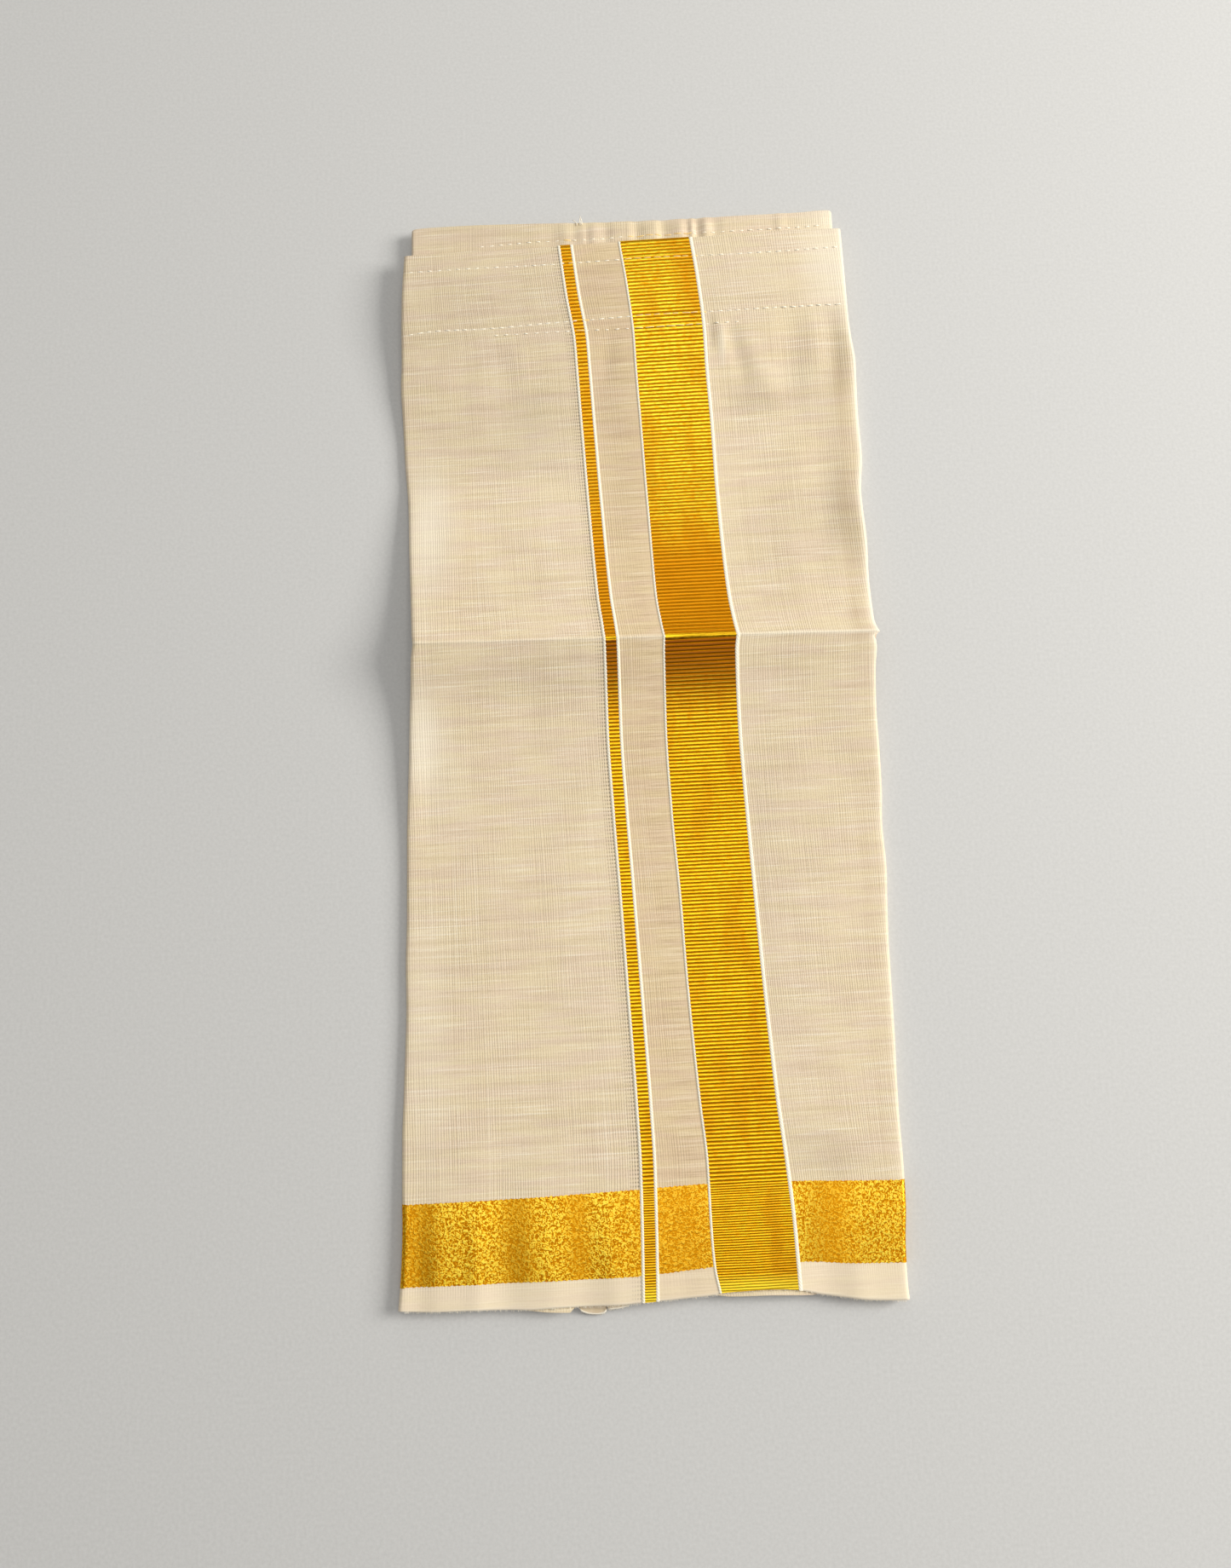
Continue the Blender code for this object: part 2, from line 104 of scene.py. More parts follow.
# Height of the underside, and the thickness of all layers, along the cloth
#   level, lift, stack
PROFILE = (
    (-192, 1.5, 2.8),
    (-170, 1.2, 2.8),
    (-147, 0.6, 2.8),
    (-125, 0.2, 2.8),
    (-102, 0, 2.8),
    (-38, 0, 2.8),
    (-27, 0.4, 2.8),
    (-18, 1.1, 2.8),
    (-8, 2, 2.8),
    (1, 3.1, 2.8),
    (11, 4.8, 2.8),
    (20, 7.1, 2.8),
    (CREASE, 9.6, 2.8),
    (34, 8.2, 2.8),
    (41, 6.6, 2.8),
    (51, 4.9, 2.8),
    (61, 3.7, 2.8),
    (72, 2.5, 2.8),
    (83, 1.3, 2.8),
    (96, 0, 2.8),
    (108, 0, 2.8),
    (120, 0.5, 2.9),
    (132, 1.1, 3.3),
    (142, 1.7, 3.7),
    (152, 2.2, 4.4),
    (161, 2.6, 4.9),
    (171, 3, 4.9),
    (185, 2.6, 4.9),
)

# Side folds of the front
#   level, x
LEFT_EDGE = (
    (-193.5, -85.9), (-186, -85.3), (-179.5, -84.8), (-165, -84.4), (-151, -84.6), (-137, -84.6),
    (-123, -84.1), (-109, -83.6), (-95, -83.2), (-81, -83.4), (-66, -83), (-52, -82.95),
    (-38, -82.9), (-24, -82.4), (-10, -81.85), (4, -81.4), (18, -80.5), (24, -80.2),
    (CREASE, -79.3), (33, -79.8), (49, -80.7), (66, -81.5), (83, -82), (100, -83.3),
    (117, -84), (134, -84.6), (143, -84.2), (151, -84.1), (168, -83.8), (185, -82.8),
)
RIGHT_EDGE = (
    (-194.5, 82), (-188, 81.4), (-179, 81.5), (-165, 82.5), (-151, 82.7), (-137, 82.4),
    (-123, 82.5), (-109, 82.8), (-95, 82.8), (-81, 82.8), (-66, 83.2), (-52, 83.8),
    (-38, 83.3), (-24, 83.9), (-10, 83.7), (4, 83.2), (18, 83.3), (24.4, 83.8), (26.3, 83.7),
    (27.7, 83), (CREASE, 84.8), (31.2, 84.2), (34, 83.5), (49, 83.3), (66, 83.9), (83, 83.4),
    (100, 84.8), (117, 84.3), (134, 84.4), (143, 83.2), (151, 82.4), (168, 81.7), (185, 81.3),
)

# Warp lines: the left edge of the narrow gold and both edges of the wide gold
#   level, narrow, wide_left, wide_right
WARPS = (
    (-193, -5, 20.4, 45.3),
    (-183, -4.8, 18.6, 44.9),
    (-170, -4.6, 18, 44.4),
    (-151, -4.5, 17.7, 43),
    (-129, -5.2, 15.9, 40.9),
    (-89, -7.1, 13.3, 38.3),
    (-60, -8.5, 12, 36.8),
    (-30, -10.1, 10.1, 35.3),
    (0, -11.3, 9.1, 33.9),
    (24, -11.4, 9.2, 33.6),
    (CREASE, -11.5, 9.4, 34.2),
    (36, -12.2, 8.4, 33.2),
    (46, -13.4, 7.2, 32),
    (79, -15.6, 5.7, 30.2),
    (113, -17.5, 4.2, 29.3),
    (136, -18.7, 3, 28.1),
    (147, -19.3, 2.6, 27.8),
    (165, -22, 0.8, 26.2),
    (185, -24.3, -1.8, 23.9),
)

# Raw hem of the front
#   x, y
HEM_EDGE = (
    (-85.9, -193.1), (-82.4, -193.4), (-76.3, -193.7), (-59.6, -193.6), (-43, -194), (-34.6, -193.6),
    (-26.3, -193.5), (-12.4, -193.2), (-3.2, -192.6), (4.4, -192.1), (12.8, -191.5), (18.3, -191),
    (20, -190.5), (26.7, -190.1), (35.1, -189.8), (40.7, -189.9), (45.4, -190.4), (49, -191.1),
    (52.3, -191.9), (56, -192.5), (62.8, -193.4), (68.3, -194.1), (78.1, -194.5), (82, -194.5),
)
# Other weft lines: where the named rows run at places across the cloth
#   x, band_low, band_high, seam, fold
WEFTS = (
    (-84, -185.9, -160, 149, 181.9),
    (-50, -185.5, -159.2, 151.1, 182.8),
    (-10, -184.7, -157.5, 153.8, 184.7),
    (25, -182, -156, 155.4, 186.1),
    (47, -181.6, -156.1, 156.2, 187.4),
    (63, -182.5, -156.5, 156.6, 188),
    (82, -182.8, -156.8, 157, 188.5),
)

# Slope of the weft threads across the cloth
#   level, slope
WEFT_SLOPE = ((-160, 0.022), (-60, 0.020), (30, 0.021), (100, 0.028), (150, 0.042), (185, 0.048))

# Pitch of the gold ribs
#   level, pitch
RIB_PITCH = (
    (-193, 0.86), (-185, 0.85), (-183.5, 0.80), (-157.5, 0.80), (-156, 1.25),
    (-60, 1.26), (0, 1.29), (30, 1.33), (100, 1.37), (186, 1.42),
)

# Soft troughs and ridges of the whole stack, as in the part
#   x, level, half_width, half_length, height
RIPPLES = (
    (-79, HEM, 7, 60, -0.5),
    (-50, HEM, 10, 64, -0.7),
    (-24, HEM, 9, 50, -0.5),
    (33, HEM, 16, 40, 0.5),
    (55, HEM, 10, 56, -0.6),
    (37, 126, 10, 22, -0.4),
    (-44, 120, 16, 24, -0.4),
)

# Finer creases of the visible layer
#   x, level, half_width, half_length, height, lean
CREASES = (
    (-60, HEM, 5, 46, 0.22, 0),
    (-36, HEM, 6, 40, 0.25, 0.02),
    (-14, HEM, 5, 34, 0.18, 0),
    (66, HEM, 6, 40, 0.2, 0),
    (8, HEM, 6, 30, -0.15, 0),
    (31.8, 146, 2.2, 9, -0.50, -0.17),
    (35, 143.5, 2.6, 13, 0.75, -0.17),
    (41, 138, 4.2, 18, -0.42, -0.15),
    (77, 136, 5, 18, -0.50, 0),
    (49, 132, 6.5, 22, 0.34, -0.35),
    (60, 134, 8, 26, -0.55, 0),
    (70, 142, 6.5, 18, 0.36, -0.1),
    (-81, -22, 7.5, 30, 0.5, 0),
    (78, 60, 7, 30, -0.35, 0),
    (-8, 140, 5, 14, -0.3, 0.15),
    (-40, 138, 7, 14, 0.2, -0.2),
    (-62, 134, 8, 20, -0.2, 0.1),
    (70, 96, 10, 30, -0.25, 0.15),
    (56, 60, 12, 26, 0.2, -0.1),
    (-66, 62, 10, 30, 0.2, 0.1),
    (-40, 6, 14, 18, -0.2, 0),
    (64, -4, 12, 20, -0.22, 0),
    (60, -70, 12, 40, 0.15, 0),
    (-58, -86, 16, 40, 0.14, 0),
)

# Unevenness of the visible layer
#   length across, length along, seed, height
UNEVEN = ((26, 34, 3.7, 0.16), (7, 16, 9.1, 0.035))
# Little ridge along the ironed crease
RIDGE_HEIGHT = 0.34
RIDGE_FADE = 0.55

# Fold line of the back waist, which shows past the front's
#   x, edge
BACK_EDGE = (
    (-80.4, 194), (-77.8, 194.6), (-68.2, 195.1), (-48.8, 195.5), (-29.5, 195.4), (-10.2, 195.2),
    (9.2, 195.4), (28.6, 196), (48, 196.6), (67.4, 197.2), (74, 197.7), (77.6, 197.8), (78.9, 197.3),
)
# Small pleats of the strip that shows
#   x, height
PLEATS = (
    (-80.4, 0), (-60, 0.1), (-44, 0), (-34, 0.12), (-27, -0.2), (-22.3, 0.4), (-18.8, -0.1),
    (-15.6, 0.3), (-14.4, 0), (-11.5, 0.5), (-7, -0.25), (-3.4, 0.4), (1.5, 0.55), (4.6, -0.55),
    (8.5, 0.35), (11.5, 0.55), (14.6, -0.7), (21.3, 0.65), (24, -0.2), (25.6, 0.45), (27.4, -0.75),
    (30.9, 0.65), (34.3, -0.3), (38, 0.2), (46, 0), (55.5, -0.15), (58.7, 0.3), (62.8, -0.1),
    (70, 0), (74, 0.12), (78.9, -0.4),
)

# Hem of the layer under the front, which shows past it in two places
#   x, edge
UNDER_HEM = (
    (-83, -192.2), (-50, -193.4), (-37.5, -194.9), (-31.9, -195.2), (-27.4, -195.4), (-27, -192),
    (0, -191.2), (18, -190.8), (19.4, -191.6), (24, -191.8), (35.1, -191.7), (47.1, -192.1),
    (47.6, -192), (51.1, -192.2), (51.6, -191.6), (79, -193.2),
)
# Hem of the layer under that one
#   x, edge
THIRD_HEM = ((-82, -190.8), (-50, -191.3), (-10, -189.9), (25, -187.9), (50, -189.5), (80, -192.1))
# Frayed corners of a deeper layer
#   x, edge
CORNER_LARGE = (
    (-26.6, -194.5), (-25.8, -195.4), (-23.6, -196.1), (-20.8, -196.3), (-18.6, -196.1), (-17.6, -195),
)
CORNER_SMALL = ((-17.3, -194.8), (-15.5, -194.7), (-12.4, -194.3), (-10.4, -193.9), (-9.9, -193.2))
# Small flaps of these corners past the hem
#   name, edge, lift
FLAPS = (("hem_corner_large", CORNER_LARGE, 0), ("hem_corner_small", CORNER_SMALL, 0.25))
FLAP_ROOT = -188.0
FLAP_THICKNESS = 0.45
# Creased section of a flap
#   share of the way to the edge, height
FLAP_SECTION = (
    (0, -0.35), (0.3, -0.35), (0.5, -0.3), (0.62, -0.15), (0.7, -0.33), (0.8, -0.2), (0.88, -0.36),
    (0.94, -0.1), (1, -0.04),
)
# Section of one gold rib
#   phase, height
RIB_SHAPE = ((0, 0), (0.12, 0.6), (0.28, 0.95), (0.5, 1), (0.72, 0.95), (0.88, 0.6))

# Stitch rows on the front, as places across the cloth
#   x, y
STITCH_UPPER = (
    (-81.8, 174.1), (-55.4, 175.1), (-30, 175.7), (1.9, 177.2), (27.4, 177.9), (52.9, 178.5), (80.2, 179.9),
)
STITCH_SEAM = (
    (-82.1, 149.2), (-71.3, 150.6), (-52.7, 151), (-32.4, 152.4), (-14.4, 153.5),
    (2.7, 154.6), (28.1, 155.5), (51.9, 156.4), (80, 157.1),
)
STITCH_SECOND = ((-50.3, 148.4), (-30.6, 149.1), (-14.5, 149.6), (0.4, 149.9), (28, 151), (42.3, 151.6))
STITCH_BACK = (
    (-55.4, 185.6), (-29.8, 187.2), (-10.6, 187.6), (8.6, 188.6), (37.5, 189.3), (59.9, 190), (76.5, 190.8),
)

CAMERA_PLACE = (-11.62, -93.16, 430.0)
CAMERA_TILT = 9.65
CAMERA_TURN = 1.7
FOCAL_PX = 1450.0
IMAGE_HEIGHT = 1840.0


def joint_slope(table, index, column, own):
    """Slope of the smooth curve at one row of a table; ends and the crease stay sharp."""
    if index in (0, len(table) - 1) or table[index][0] == CREASE:
        return own
    before = (table[index][column] - table[index - 1][column]) / (table[index][0] - table[index - 1][0])
    after = (table[index + 1][column] - table[index][column]) / (table[index + 1][0] - table[index][0])
    if before * after <= 0:
        return 0.0
    return 2 * before * after / (before + after)


def smooth(table, place, column=1):
    """Value of a column at a place in the first column, on a curve that never overshoots."""
    if place <= table[0][0]:
        return table[0][column]
    for index, (low, high) in enumerate(zip(table, table[1:])):
        if place <= high[0]:
            width = high[0] - low[0]
            own = (high[column] - low[column]) / width
            start = joint_slope(table, index, column, own) * width
            end = joint_slope(table, index + 1, column, own) * width
            t = (place - low[0]) / width
            rise = high[column] - low[column]
            return low[column] + t * (start + t * (3 * rise - 2 * start - end + t * (start + end - 2 * rise)))
    return table[-1][column]


def straight(table, place, column=1):
    """Value of a column at a place in the first column, on straight lines between the rows."""
    if place <= table[0][0]:
        return table[0][column]
    for low, high in zip(table, table[1:]):
        if place <= high[0]:
            share = (place - low[0]) / (high[0] - low[0])
            return low[column] + share * (high[column] - low[column])
    return table[-1][column]


def mix(low, high, share):
    return low + share * (high - low)


def clamp(value):
    return min(1.0, max(0.0, value))


def bump(distance):
    """1 in the middle, falling softly to 0 at a distance of 1."""
    if abs(distance) >= 1:
        return 0.0
    return 0.5 + 0.5 * cos(pi * distance)


def ripple(x, level):
    """Height of the soft troughs and ridges of the whole stack."""
    return sum(
        height * bump((x - centre) / half_width) * bump((level - middle) / half_length)
        for centre, middle, half_width, half_length, height in RIPPLES
    )


def rough(x, y, z):
    return noise.noise(Vector((x, y, z)))


def fine_creases(x, level):
    """Height of the visible layer's own creases and unevenness."""
    total = sum(height * rough(x / across, level / along, seed) for across, along, seed, height in UNEVEN)
    for centre, middle, half_width, half_length, height, lean in CREASES:
        along = level - middle
        total += height * bump((x - centre - lean * along) / half_width) * bump(along / half_length)
    return total


def crease_ridge(level):
    """Sharp little ridge where the ironed crease runs."""
    return RIDGE_HEIGHT * exp(-abs(level - CREASE) / RIDGE_FADE)


def row_y(x, level):
    """Where the row of this level runs at x."""
    lines = (
        (HEM, smooth(HEM_EDGE, x) - HEM),
        (BAND_LOW, smooth(WEFTS, x, 1) - BAND_LOW),
        (BAND_HIGH, smooth(WEFTS, x, 2) - BAND_HIGH),
        (STRAIGHT_FROM, 0.0),
        (STRAIGHT_TO, 0.0),
        (SEAM, smooth(WEFTS, x, 3) - SEAM),
        (FOLD, smooth(WEFTS, x, 4) - FOLD),
    )
    return level + straight(lines, level)


def level_at(x, y):
    """Level of the row that runs through a place."""
    level = y
    for _ in range(3):
        level = y - (row_y(x, level) - level)
    return level


def underside(x, level):
    """Height of the underside of the stack."""
    return max(0.0, smooth(PROFILE, level, 1) + ripple(x, level))


def top(x, level):
    """Height of the front cloth's upper face."""
    stack = smooth(PROFILE, level, 1) + smooth(PROFILE, level, 2)
    return stack + ripple(x, level) + fine_creases(x, level) + crease_ridge(level)


def weft_place(x, y):
    """Coordinate along the cloth that is the same all along one weft thread."""
    return y - smooth(WEFT_SLOPE, y) * (x - WEFT_CENTRE)


def weft_y(x, weft):
    """Where the weft thread with this coordinate runs at x."""
    y = weft
    for _ in range(2):
        y = weft + smooth(WEFT_SLOPE, y) * (x - WEFT_CENTRE)
    return y


def warp_place(x, level):
    """Coordinate across the cloth that is the same all along one warp thread."""
    narrow, wide_left, wide_right = (smooth(WARPS, level, column) for column in (1, 2, 3))
    if x < narrow:
        lean = mix(LEAN_LEFT, 1.0, max(0.0, (x + SIDE) / (narrow + SIDE)))
        return x - NARROW_HOME - lean * (narrow - NARROW_HOME)
    if x < wide_left:
        gold_end = narrow + NARROW_GOLD
        if x < gold_end:
            return x - narrow
        return mix(NARROW_GOLD, WIDE_START, (x - gold_end) / (wide_left - gold_end))
    if x < wide_right:
        return WIDE_START + x - wide_left
    lean = mix(1.0, LEAN_RIGHT, (x - wide_right) / (SIDE - wide_right))
    return WIDE_END + x - WIDE_HOME - lean * (wide_right - WIDE_HOME)


def spread(start, end, pitch):
    """Places from start to end, about a pitch apart, without the end."""
    count = max(1, round(abs(end - start) / pitch))
    return [mix(start, end, step / count) for step in range(count)]


def metres(rows):
    """Rows of places in millimetres as one list of vertices in metres."""
    return [((x + SHIFT[0]) * MM, (y + SHIFT[1]) * MM, z * MM) for row in rows for x, y, z in row]


def linked(name, data):
    made = bpy.data.objects.new(name, data)
    bpy.context.scene.collection.objects.link(made)
    return made


def mesh_object(name, verts, faces, finish, maps=None):
    """A smooth mesh on the body; maps gives each UV map's name and a pair for each vertex."""
    mesh = bpy.data.meshes.new(name)
    mesh.from_pydata(verts, [], faces)
    for title, pairs in (maps or {}).items():
        layer = mesh.uv_layers.new(name=title)
        for corner in mesh.loops:
            layer.data[corner.index].uv = pairs[corner.vertex_index]
    mesh.shade_smooth()
    mesh.materials.append(finish)
    made = linked(name, mesh)
    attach(made, "root")
    return made


def sheet_object(name, made_rows, finish, thickness=0.0):
    """A smooth sheet through rows of places, which come with the pairs of their UV maps."""
    rows = [row for row, _ in made_rows]
    columns = len(rows[0])
    starts = [i * columns + j for i in range(len(rows) - 1) for j in range(columns - 1)]
    faces = [(a, a + 1, a + columns + 1, a + columns) for a in starts]
    maps = {title: [pair for _, found in made_rows for pair in found[title]] for title in made_rows[0][1]}
    made = mesh_object(name, metres(rows), faces, finish, maps)
    if thickness:
        solid = made.modifiers.new("thickness", "SOLIDIFY")
        solid.thickness = thickness * MM
        solid.offset = -1.0
    return made


def ring_faces(base, rings, sides):
    """Faces between closed rings of vertices."""
    found = []
    for i in range(rings - 1):
        for j in range(sides):
            k = (j + 1) % sides
            a, b = base + i * sides, base + (i + 1) * sides
            found.append((a + j, a + k, b + k, b + j))
    return found


# Materials

class Nodes:
    """Short calls for building a node material."""

    def __init__(self, name):
        self.material = bpy.data.materials.new(name)
        self.material.use_nodes = True
        self.tree = self.material.node_tree
        self.shader = self.tree.nodes["Principled BSDF"]
        self.base = None

    def node(self, kind, **settings):
        made = self.tree.nodes.new(kind)
        for key, value in settings.items():
            setattr(made, key, value)
        return made

    def link(self, source, target):
        if isinstance(source, (int, float, tuple)):
            target.default_value = source
        else:
            self.tree.links.new(source, target)

    def pair(self, title):
        """Both coordinates of a UV map, in millimetres."""
        uv = self.node("ShaderNodeUVMap", uv_map=title)
        parts = self.node("ShaderNodeSeparateXYZ")
        self.link(uv.outputs["UV"], parts.inputs[0])
        return parts.outputs["X"], parts.outputs["Y"]

    def filled(self, made, values):
        """A node's output, with its first inputs filled in order."""
        for value, socket in zip(values, made.inputs):
            self.link(value, socket)
        return made.outputs[0]

    def math(self, operation, *values):
        return self.filled(self.node("ShaderNodeMath", operation=operation), values)

    def times(self, value, factor):
        return self.math("MULTIPLY", value, factor)

    def line(self, value, factor, start):
        """start + factor * value."""
        return self.math("MULTIPLY_ADD", value, factor, start)

    def shaken(self, noise_value, factor, start):
        """start, moved both ways by a noise."""
        return self.line(self.math("SUBTRACT", noise_value, 0.5), factor, start)

    def vector(self, x, y, z=0.0):
        return self.filled(self.node("ShaderNodeCombineXYZ"), (x, y, z))

    def noise(self, place, scale, detail=2.0, roughness=0.5, distortion=0.0):
        made = self.node("ShaderNodeTexNoise")
        self.link(place, made.inputs["Vector"])
        made.inputs["Scale"].default_value = scale
        made.inputs["Detail"].default_value = detail
        made.inputs["Roughness"].default_value = roughness
        made.inputs["Distortion"].default_value = distortion
        return made.outputs["Fac"]

    def stretched(self, pair, across, along, detail=2.0, roughness=0.5):
        """Noise with its own scale for each coordinate of a pair."""
        place = self.vector(self.times(pair[0], across), self.times(pair[1], along))
        return self.noise(place, 1.0, detail, roughness)

    def ramp(self, value, *stops):
        """Colour ramp through (place, colour) stops."""
        made = self.node("ShaderNodeValToRGB")
        elements = made.color_ramp.elements
        while len(elements) < len(stops):
            elements.new(0.5)
        for element, (place, colour) in zip(elements, stops):
            element.position = place
            element.color = (*(colour if isinstance(colour, tuple) else (colour,) * 3), 1.0)
        self.link(value, made.inputs["Fac"])
        return made.outputs["Color"]

    def blend(self, share, low, high, kind="MIX"):
        made = self.node("ShaderNodeMix", data_type="RGBA", blend_type=kind)
        self.link(share, made.inputs["Factor"])
        for value, socket in ((low, made.inputs["A"]), (high, made.inputs["B"])):
            self.link((*value, 1.0) if isinstance(value, tuple) else value, socket)
        return made.outputs["Result"]

    def paint(self, colour, *shares):
        """Lay a colour over the base colour, as much as the product of the shares."""
        share = shares[0]
        for other in shares[1:]:
            share = self.times(share, other)
        self.base = self.blend(share, self.base, colour)

    def tint(self, colour, share):
        """Multiply the base colour by another one."""
        self.paint(self.blend(1.0, self.base, colour, "MULTIPLY"), share)

    def by_place(self, value, *stops):
        """Share through (millimetres, share) stops, even before the first and after the last."""
        low, high = stops[0][0], stops[-1][0]
        scaled = self.line(value, 1.0 / (high - low), -low / (high - low))
        return self.ramp(scaled, *[((place - low) / (high - low), share) for place, share in stops])

    def near(self, value, middle, half_width):
        """1 at a value, falling to 0 at half_width from it."""
        away = self.math("ABSOLUTE", self.math("SUBTRACT", value, middle))
        return self.math("MAXIMUM", self.line(away, -1.0 / half_width, 1.0), 0.0)

    def wave(self, value, pitch):
        """0 to 1 and back once in each pitch."""
        return self.line(self.math("COSINE", self.times(value, 2 * pi / pitch)), 0.5, 0.5)

    def raise_by(self, height, distance):
        """Bump the shading by a height in millimetres."""
        made = self.node("ShaderNodeBump")
        made.inputs["Strength"].default_value = 1.0
        made.inputs["Distance"].default_value = distance * MM
        self.link(height, made.inputs["Height"])
        self.link(made.outputs["Normal"], self.shader.inputs["Normal"])

    def set(self, **values):
        for key, value in values.items():
            self.link(value, self.shader.inputs[key.replace("_", " ")])


COTTON = (0.778, 0.637, 0.452)
COTTON_DARK = (0.440, 0.320, 0.182)
COTTON_PALE = (0.930, 0.855, 0.700)
COTTON_YELLOW = (0.800, 0.688, 0.436)
COTTON_ROSE = (0.758, 0.606, 0.464)
COTTON_HEM = (0.855, 0.735, 0.545)
COTTON_EDGE = (0.93, 0.85, 0.70)
# Colour of the painted highlight on the right side fold's rim
COTTON_RIM_HIGHLIGHT = (0.91, 0.845, 0.70)
# Colour of the painted highlight along the crease
COTTON_CREASE_HIGHLIGHT = (0.93, 0.85, 0.68)
COTTON_SHADED = (0.55, 0.545, 0.53)
MIDDLE_TINT = (0.945, 0.895, 0.820)
GAP_BROWN = (0.30, 0.24, 0.16)

# Noise patterns of the cotton, in cycles for each millimetre
#   name: across, along, detail, roughness
COTTON_NOISE = {
    "sway": (0.11, 0.02, 2.0, 0.5),
    "jitter": (1.0, 0.014, 1.0, 0.5),
    "streak": (2.1, 0.010, 2.0, 0.65),
    "bead": (1.3, 1.1, 2.0, 0.6),
    "slub": (0.040, 1.5, 3.0, 0.62),
    "band": (0.024, 0.36, 2.0, 0.5),
    "cloud": (0.045, 0.24, 3.0, 0.55),
    "clear": (0.05, 0.04, 2.0, 0.5),
}

# Threads that these patterns colour
#   pattern, stops of its share, only on ribs, colour
COTTON_THREADS = (
    ("streak", (0.54, 0.0), (0.74, 0.27), True, COTTON_PALE),
    ("streak", (0.28, 0.15), (0.46, 0.0), True, COTTON_DARK),
    ("bead", (0.34, 0.14), (0.50, 0.0), False, COTTON_DARK),
    ("slub", (0.53, 0.0), (0.71, 0.55), False, COTTON_PALE),
    ("slub", (0.28, 0.22), (0.46, 0.0), False, COTTON_DARK),
    ("band", (0.36, 0.13), (0.50, 0.0), False, COTTON_DARK),
)

# Soft spots of painted highlight
#   x, level, half_width, half_length, strength
PAINTED_HIGHLIGHT_SPOTS = (
    (-72, 76, 12, 28, 0.55),
    (-75, -4, 10, 22, 0.40),
    (80, 170, 17, 28, 0.85),
    (64, 172, 40, 24, 0.14),
    (34.8, 142, 2, 9, 0.60),
    (58, 130, 15, 6, 0.26),
    (66, 117, 12, 5, 0.18),
    (52, 108, 16, 7, 0.14),
    (-77, 70, 11, 46, 0.42),
    (-79, 0, 9, 26, 0.55),
    (-72, -16, 16, 26, 0.22),
    (-77, -110, 11, 60, 0.30),
    (-30, 92, 30, 34, 0.10),
    (-56, -190, 20, 20, 0.14),
)

# Soft spots of painted shade
#   x, level, half_width, half_length, strength
PAINTED_SHADE_SPOTS = (
    (-38, 112, 36, 22, 0.28),
    (-3, 94, 9, 34, 0.22),
    (-6, 128, 10, 20, 0.24),
    (76, 72, 8, 26, 0.40),
    (73, 116, 13, 24, 0.28),
    (41, -48, 6, 34, 0.10),
    (58, -149, 16, 9, 0.34),
    (31.5, 147, 2.2, 8, 0.40),
    (40, 143, 3.4, 9, 0.30),
    (50, 121, 17, 7, 0.20),
    (62, 0, 44, 200, 0.10),
    (0, 168, 120, 22, 0.18),
    (76, 84, 9, 26, 0.30),
    (77.5, 137, 6, 20, 0.55),
    (64, -20, 34, 60, 0.07),
    (44, -60, 10, 60, 0.10),
    (50, -142, 18, 9, 0.14),
    (-40, 19, 56, 11, 0.14),
    (-22, 138, 12, 26, 0.12),
    (-2, 60, 8, 30, 0.08),
    (-66, 150, 64, 70, 0.30),
    (-84, 110, 22, 50, 0.10),
    (68, 72, 34, 30, 0.26),
    (6, 120, 22, 60, 0.16),
    (-30, 18, 50, 16, 0.10),
    (50, 128, 20, 20, 0.12),
)


def cotton_material(name, plain=False, painted_light=True):
    """Unbleached cotton: fine lengthwise ribs, crosswise slubs, soft unevenness in tone and, if asked, soft
    spots of painted shade and painted highlight.
    """
    n = Nodes(name)
    across, along = n.pair("Weave")
    found = {title: n.stretched((across, along), *row) for title, row in COTTON_NOISE.items()}
    placed = n.line(found["sway"], 1.4, n.line(found["jitter"], 0.8, across))
    rib = n.ramp(n.wave(placed, COTTON_RIB), (0.10, 0.0), (0.72, 1.0))
    clear = n.ramp(found["clear"], (0.36, 0.45), (0.60, 1.0))
    ribbed = n.times(clear, 0.85 if plain else rib_strength(n, across))
    gap = n.times(n.math("SUBTRACT", 1.0, rib), ribbed)
    n.base = n.blend(n.ramp(found["cloud"], (0.40, 0.0), (0.58, 1.0)), COTTON_ROSE, COTTON_YELLOW)
    n.paint(COTTON, 0.52)
    n.paint(COTTON_DARK, gap, 0.25)
    for title, low, high, on_ribs, colour in COTTON_THREADS:
        n.paint(colour, n.ramp(found[title], low, high), *([ribbed] if on_ribs else []))
    if painted_light:
        # Painted highlight spots, then painted shade spots
        n.paint(COTTON_PALE, spots(n, PAINTED_HIGHLIGHT_SPOTS))
        n.tint(COTTON_SHADED, spots(n, PAINTED_SHADE_SPOTS))
    if not plain:
        front_details(n, across, along)
    height = n.line(gap, -0.7, n.times(found["slub"], 0.8))
    height = n.line(found["bead"], 0.3, height)
    if not plain:
        height = n.line(seam_lines(n), -1.3, height)
    n.raise_by(height, 0.075)
    n.set(Base_Color=n.base, Roughness=0.8)
    n.set(Sheen_Weight=0.15, Sheen_Roughness=0.4, Specular_IOR_Level=0.3)
    return n.material


def rib_strength(n, across):
    """Ribs fade out in the plain strip under the gold band and in the right half of the middle panel."""
    _, level = n.pair("Rows")
    strip = n.by_place(level, (-189.0, 0.18), (-179.0, 1.0))
    smooth_part = n.times(n.near(across, 17.5, 6.0), 1.6)
    return n.times(strip, n.line(n.math("MINIMUM", smooth_part, 1.0), -0.6, 1.0))


def seam_lines(n):
    """1 in the shallow furrows that the stitch rows pull."""
    upper, seam = n.pair("Seams")
    return n.math("MAXIMUM", n.near(upper, 0.0, 0.55), n.near(seam, 0.0, 0.6))


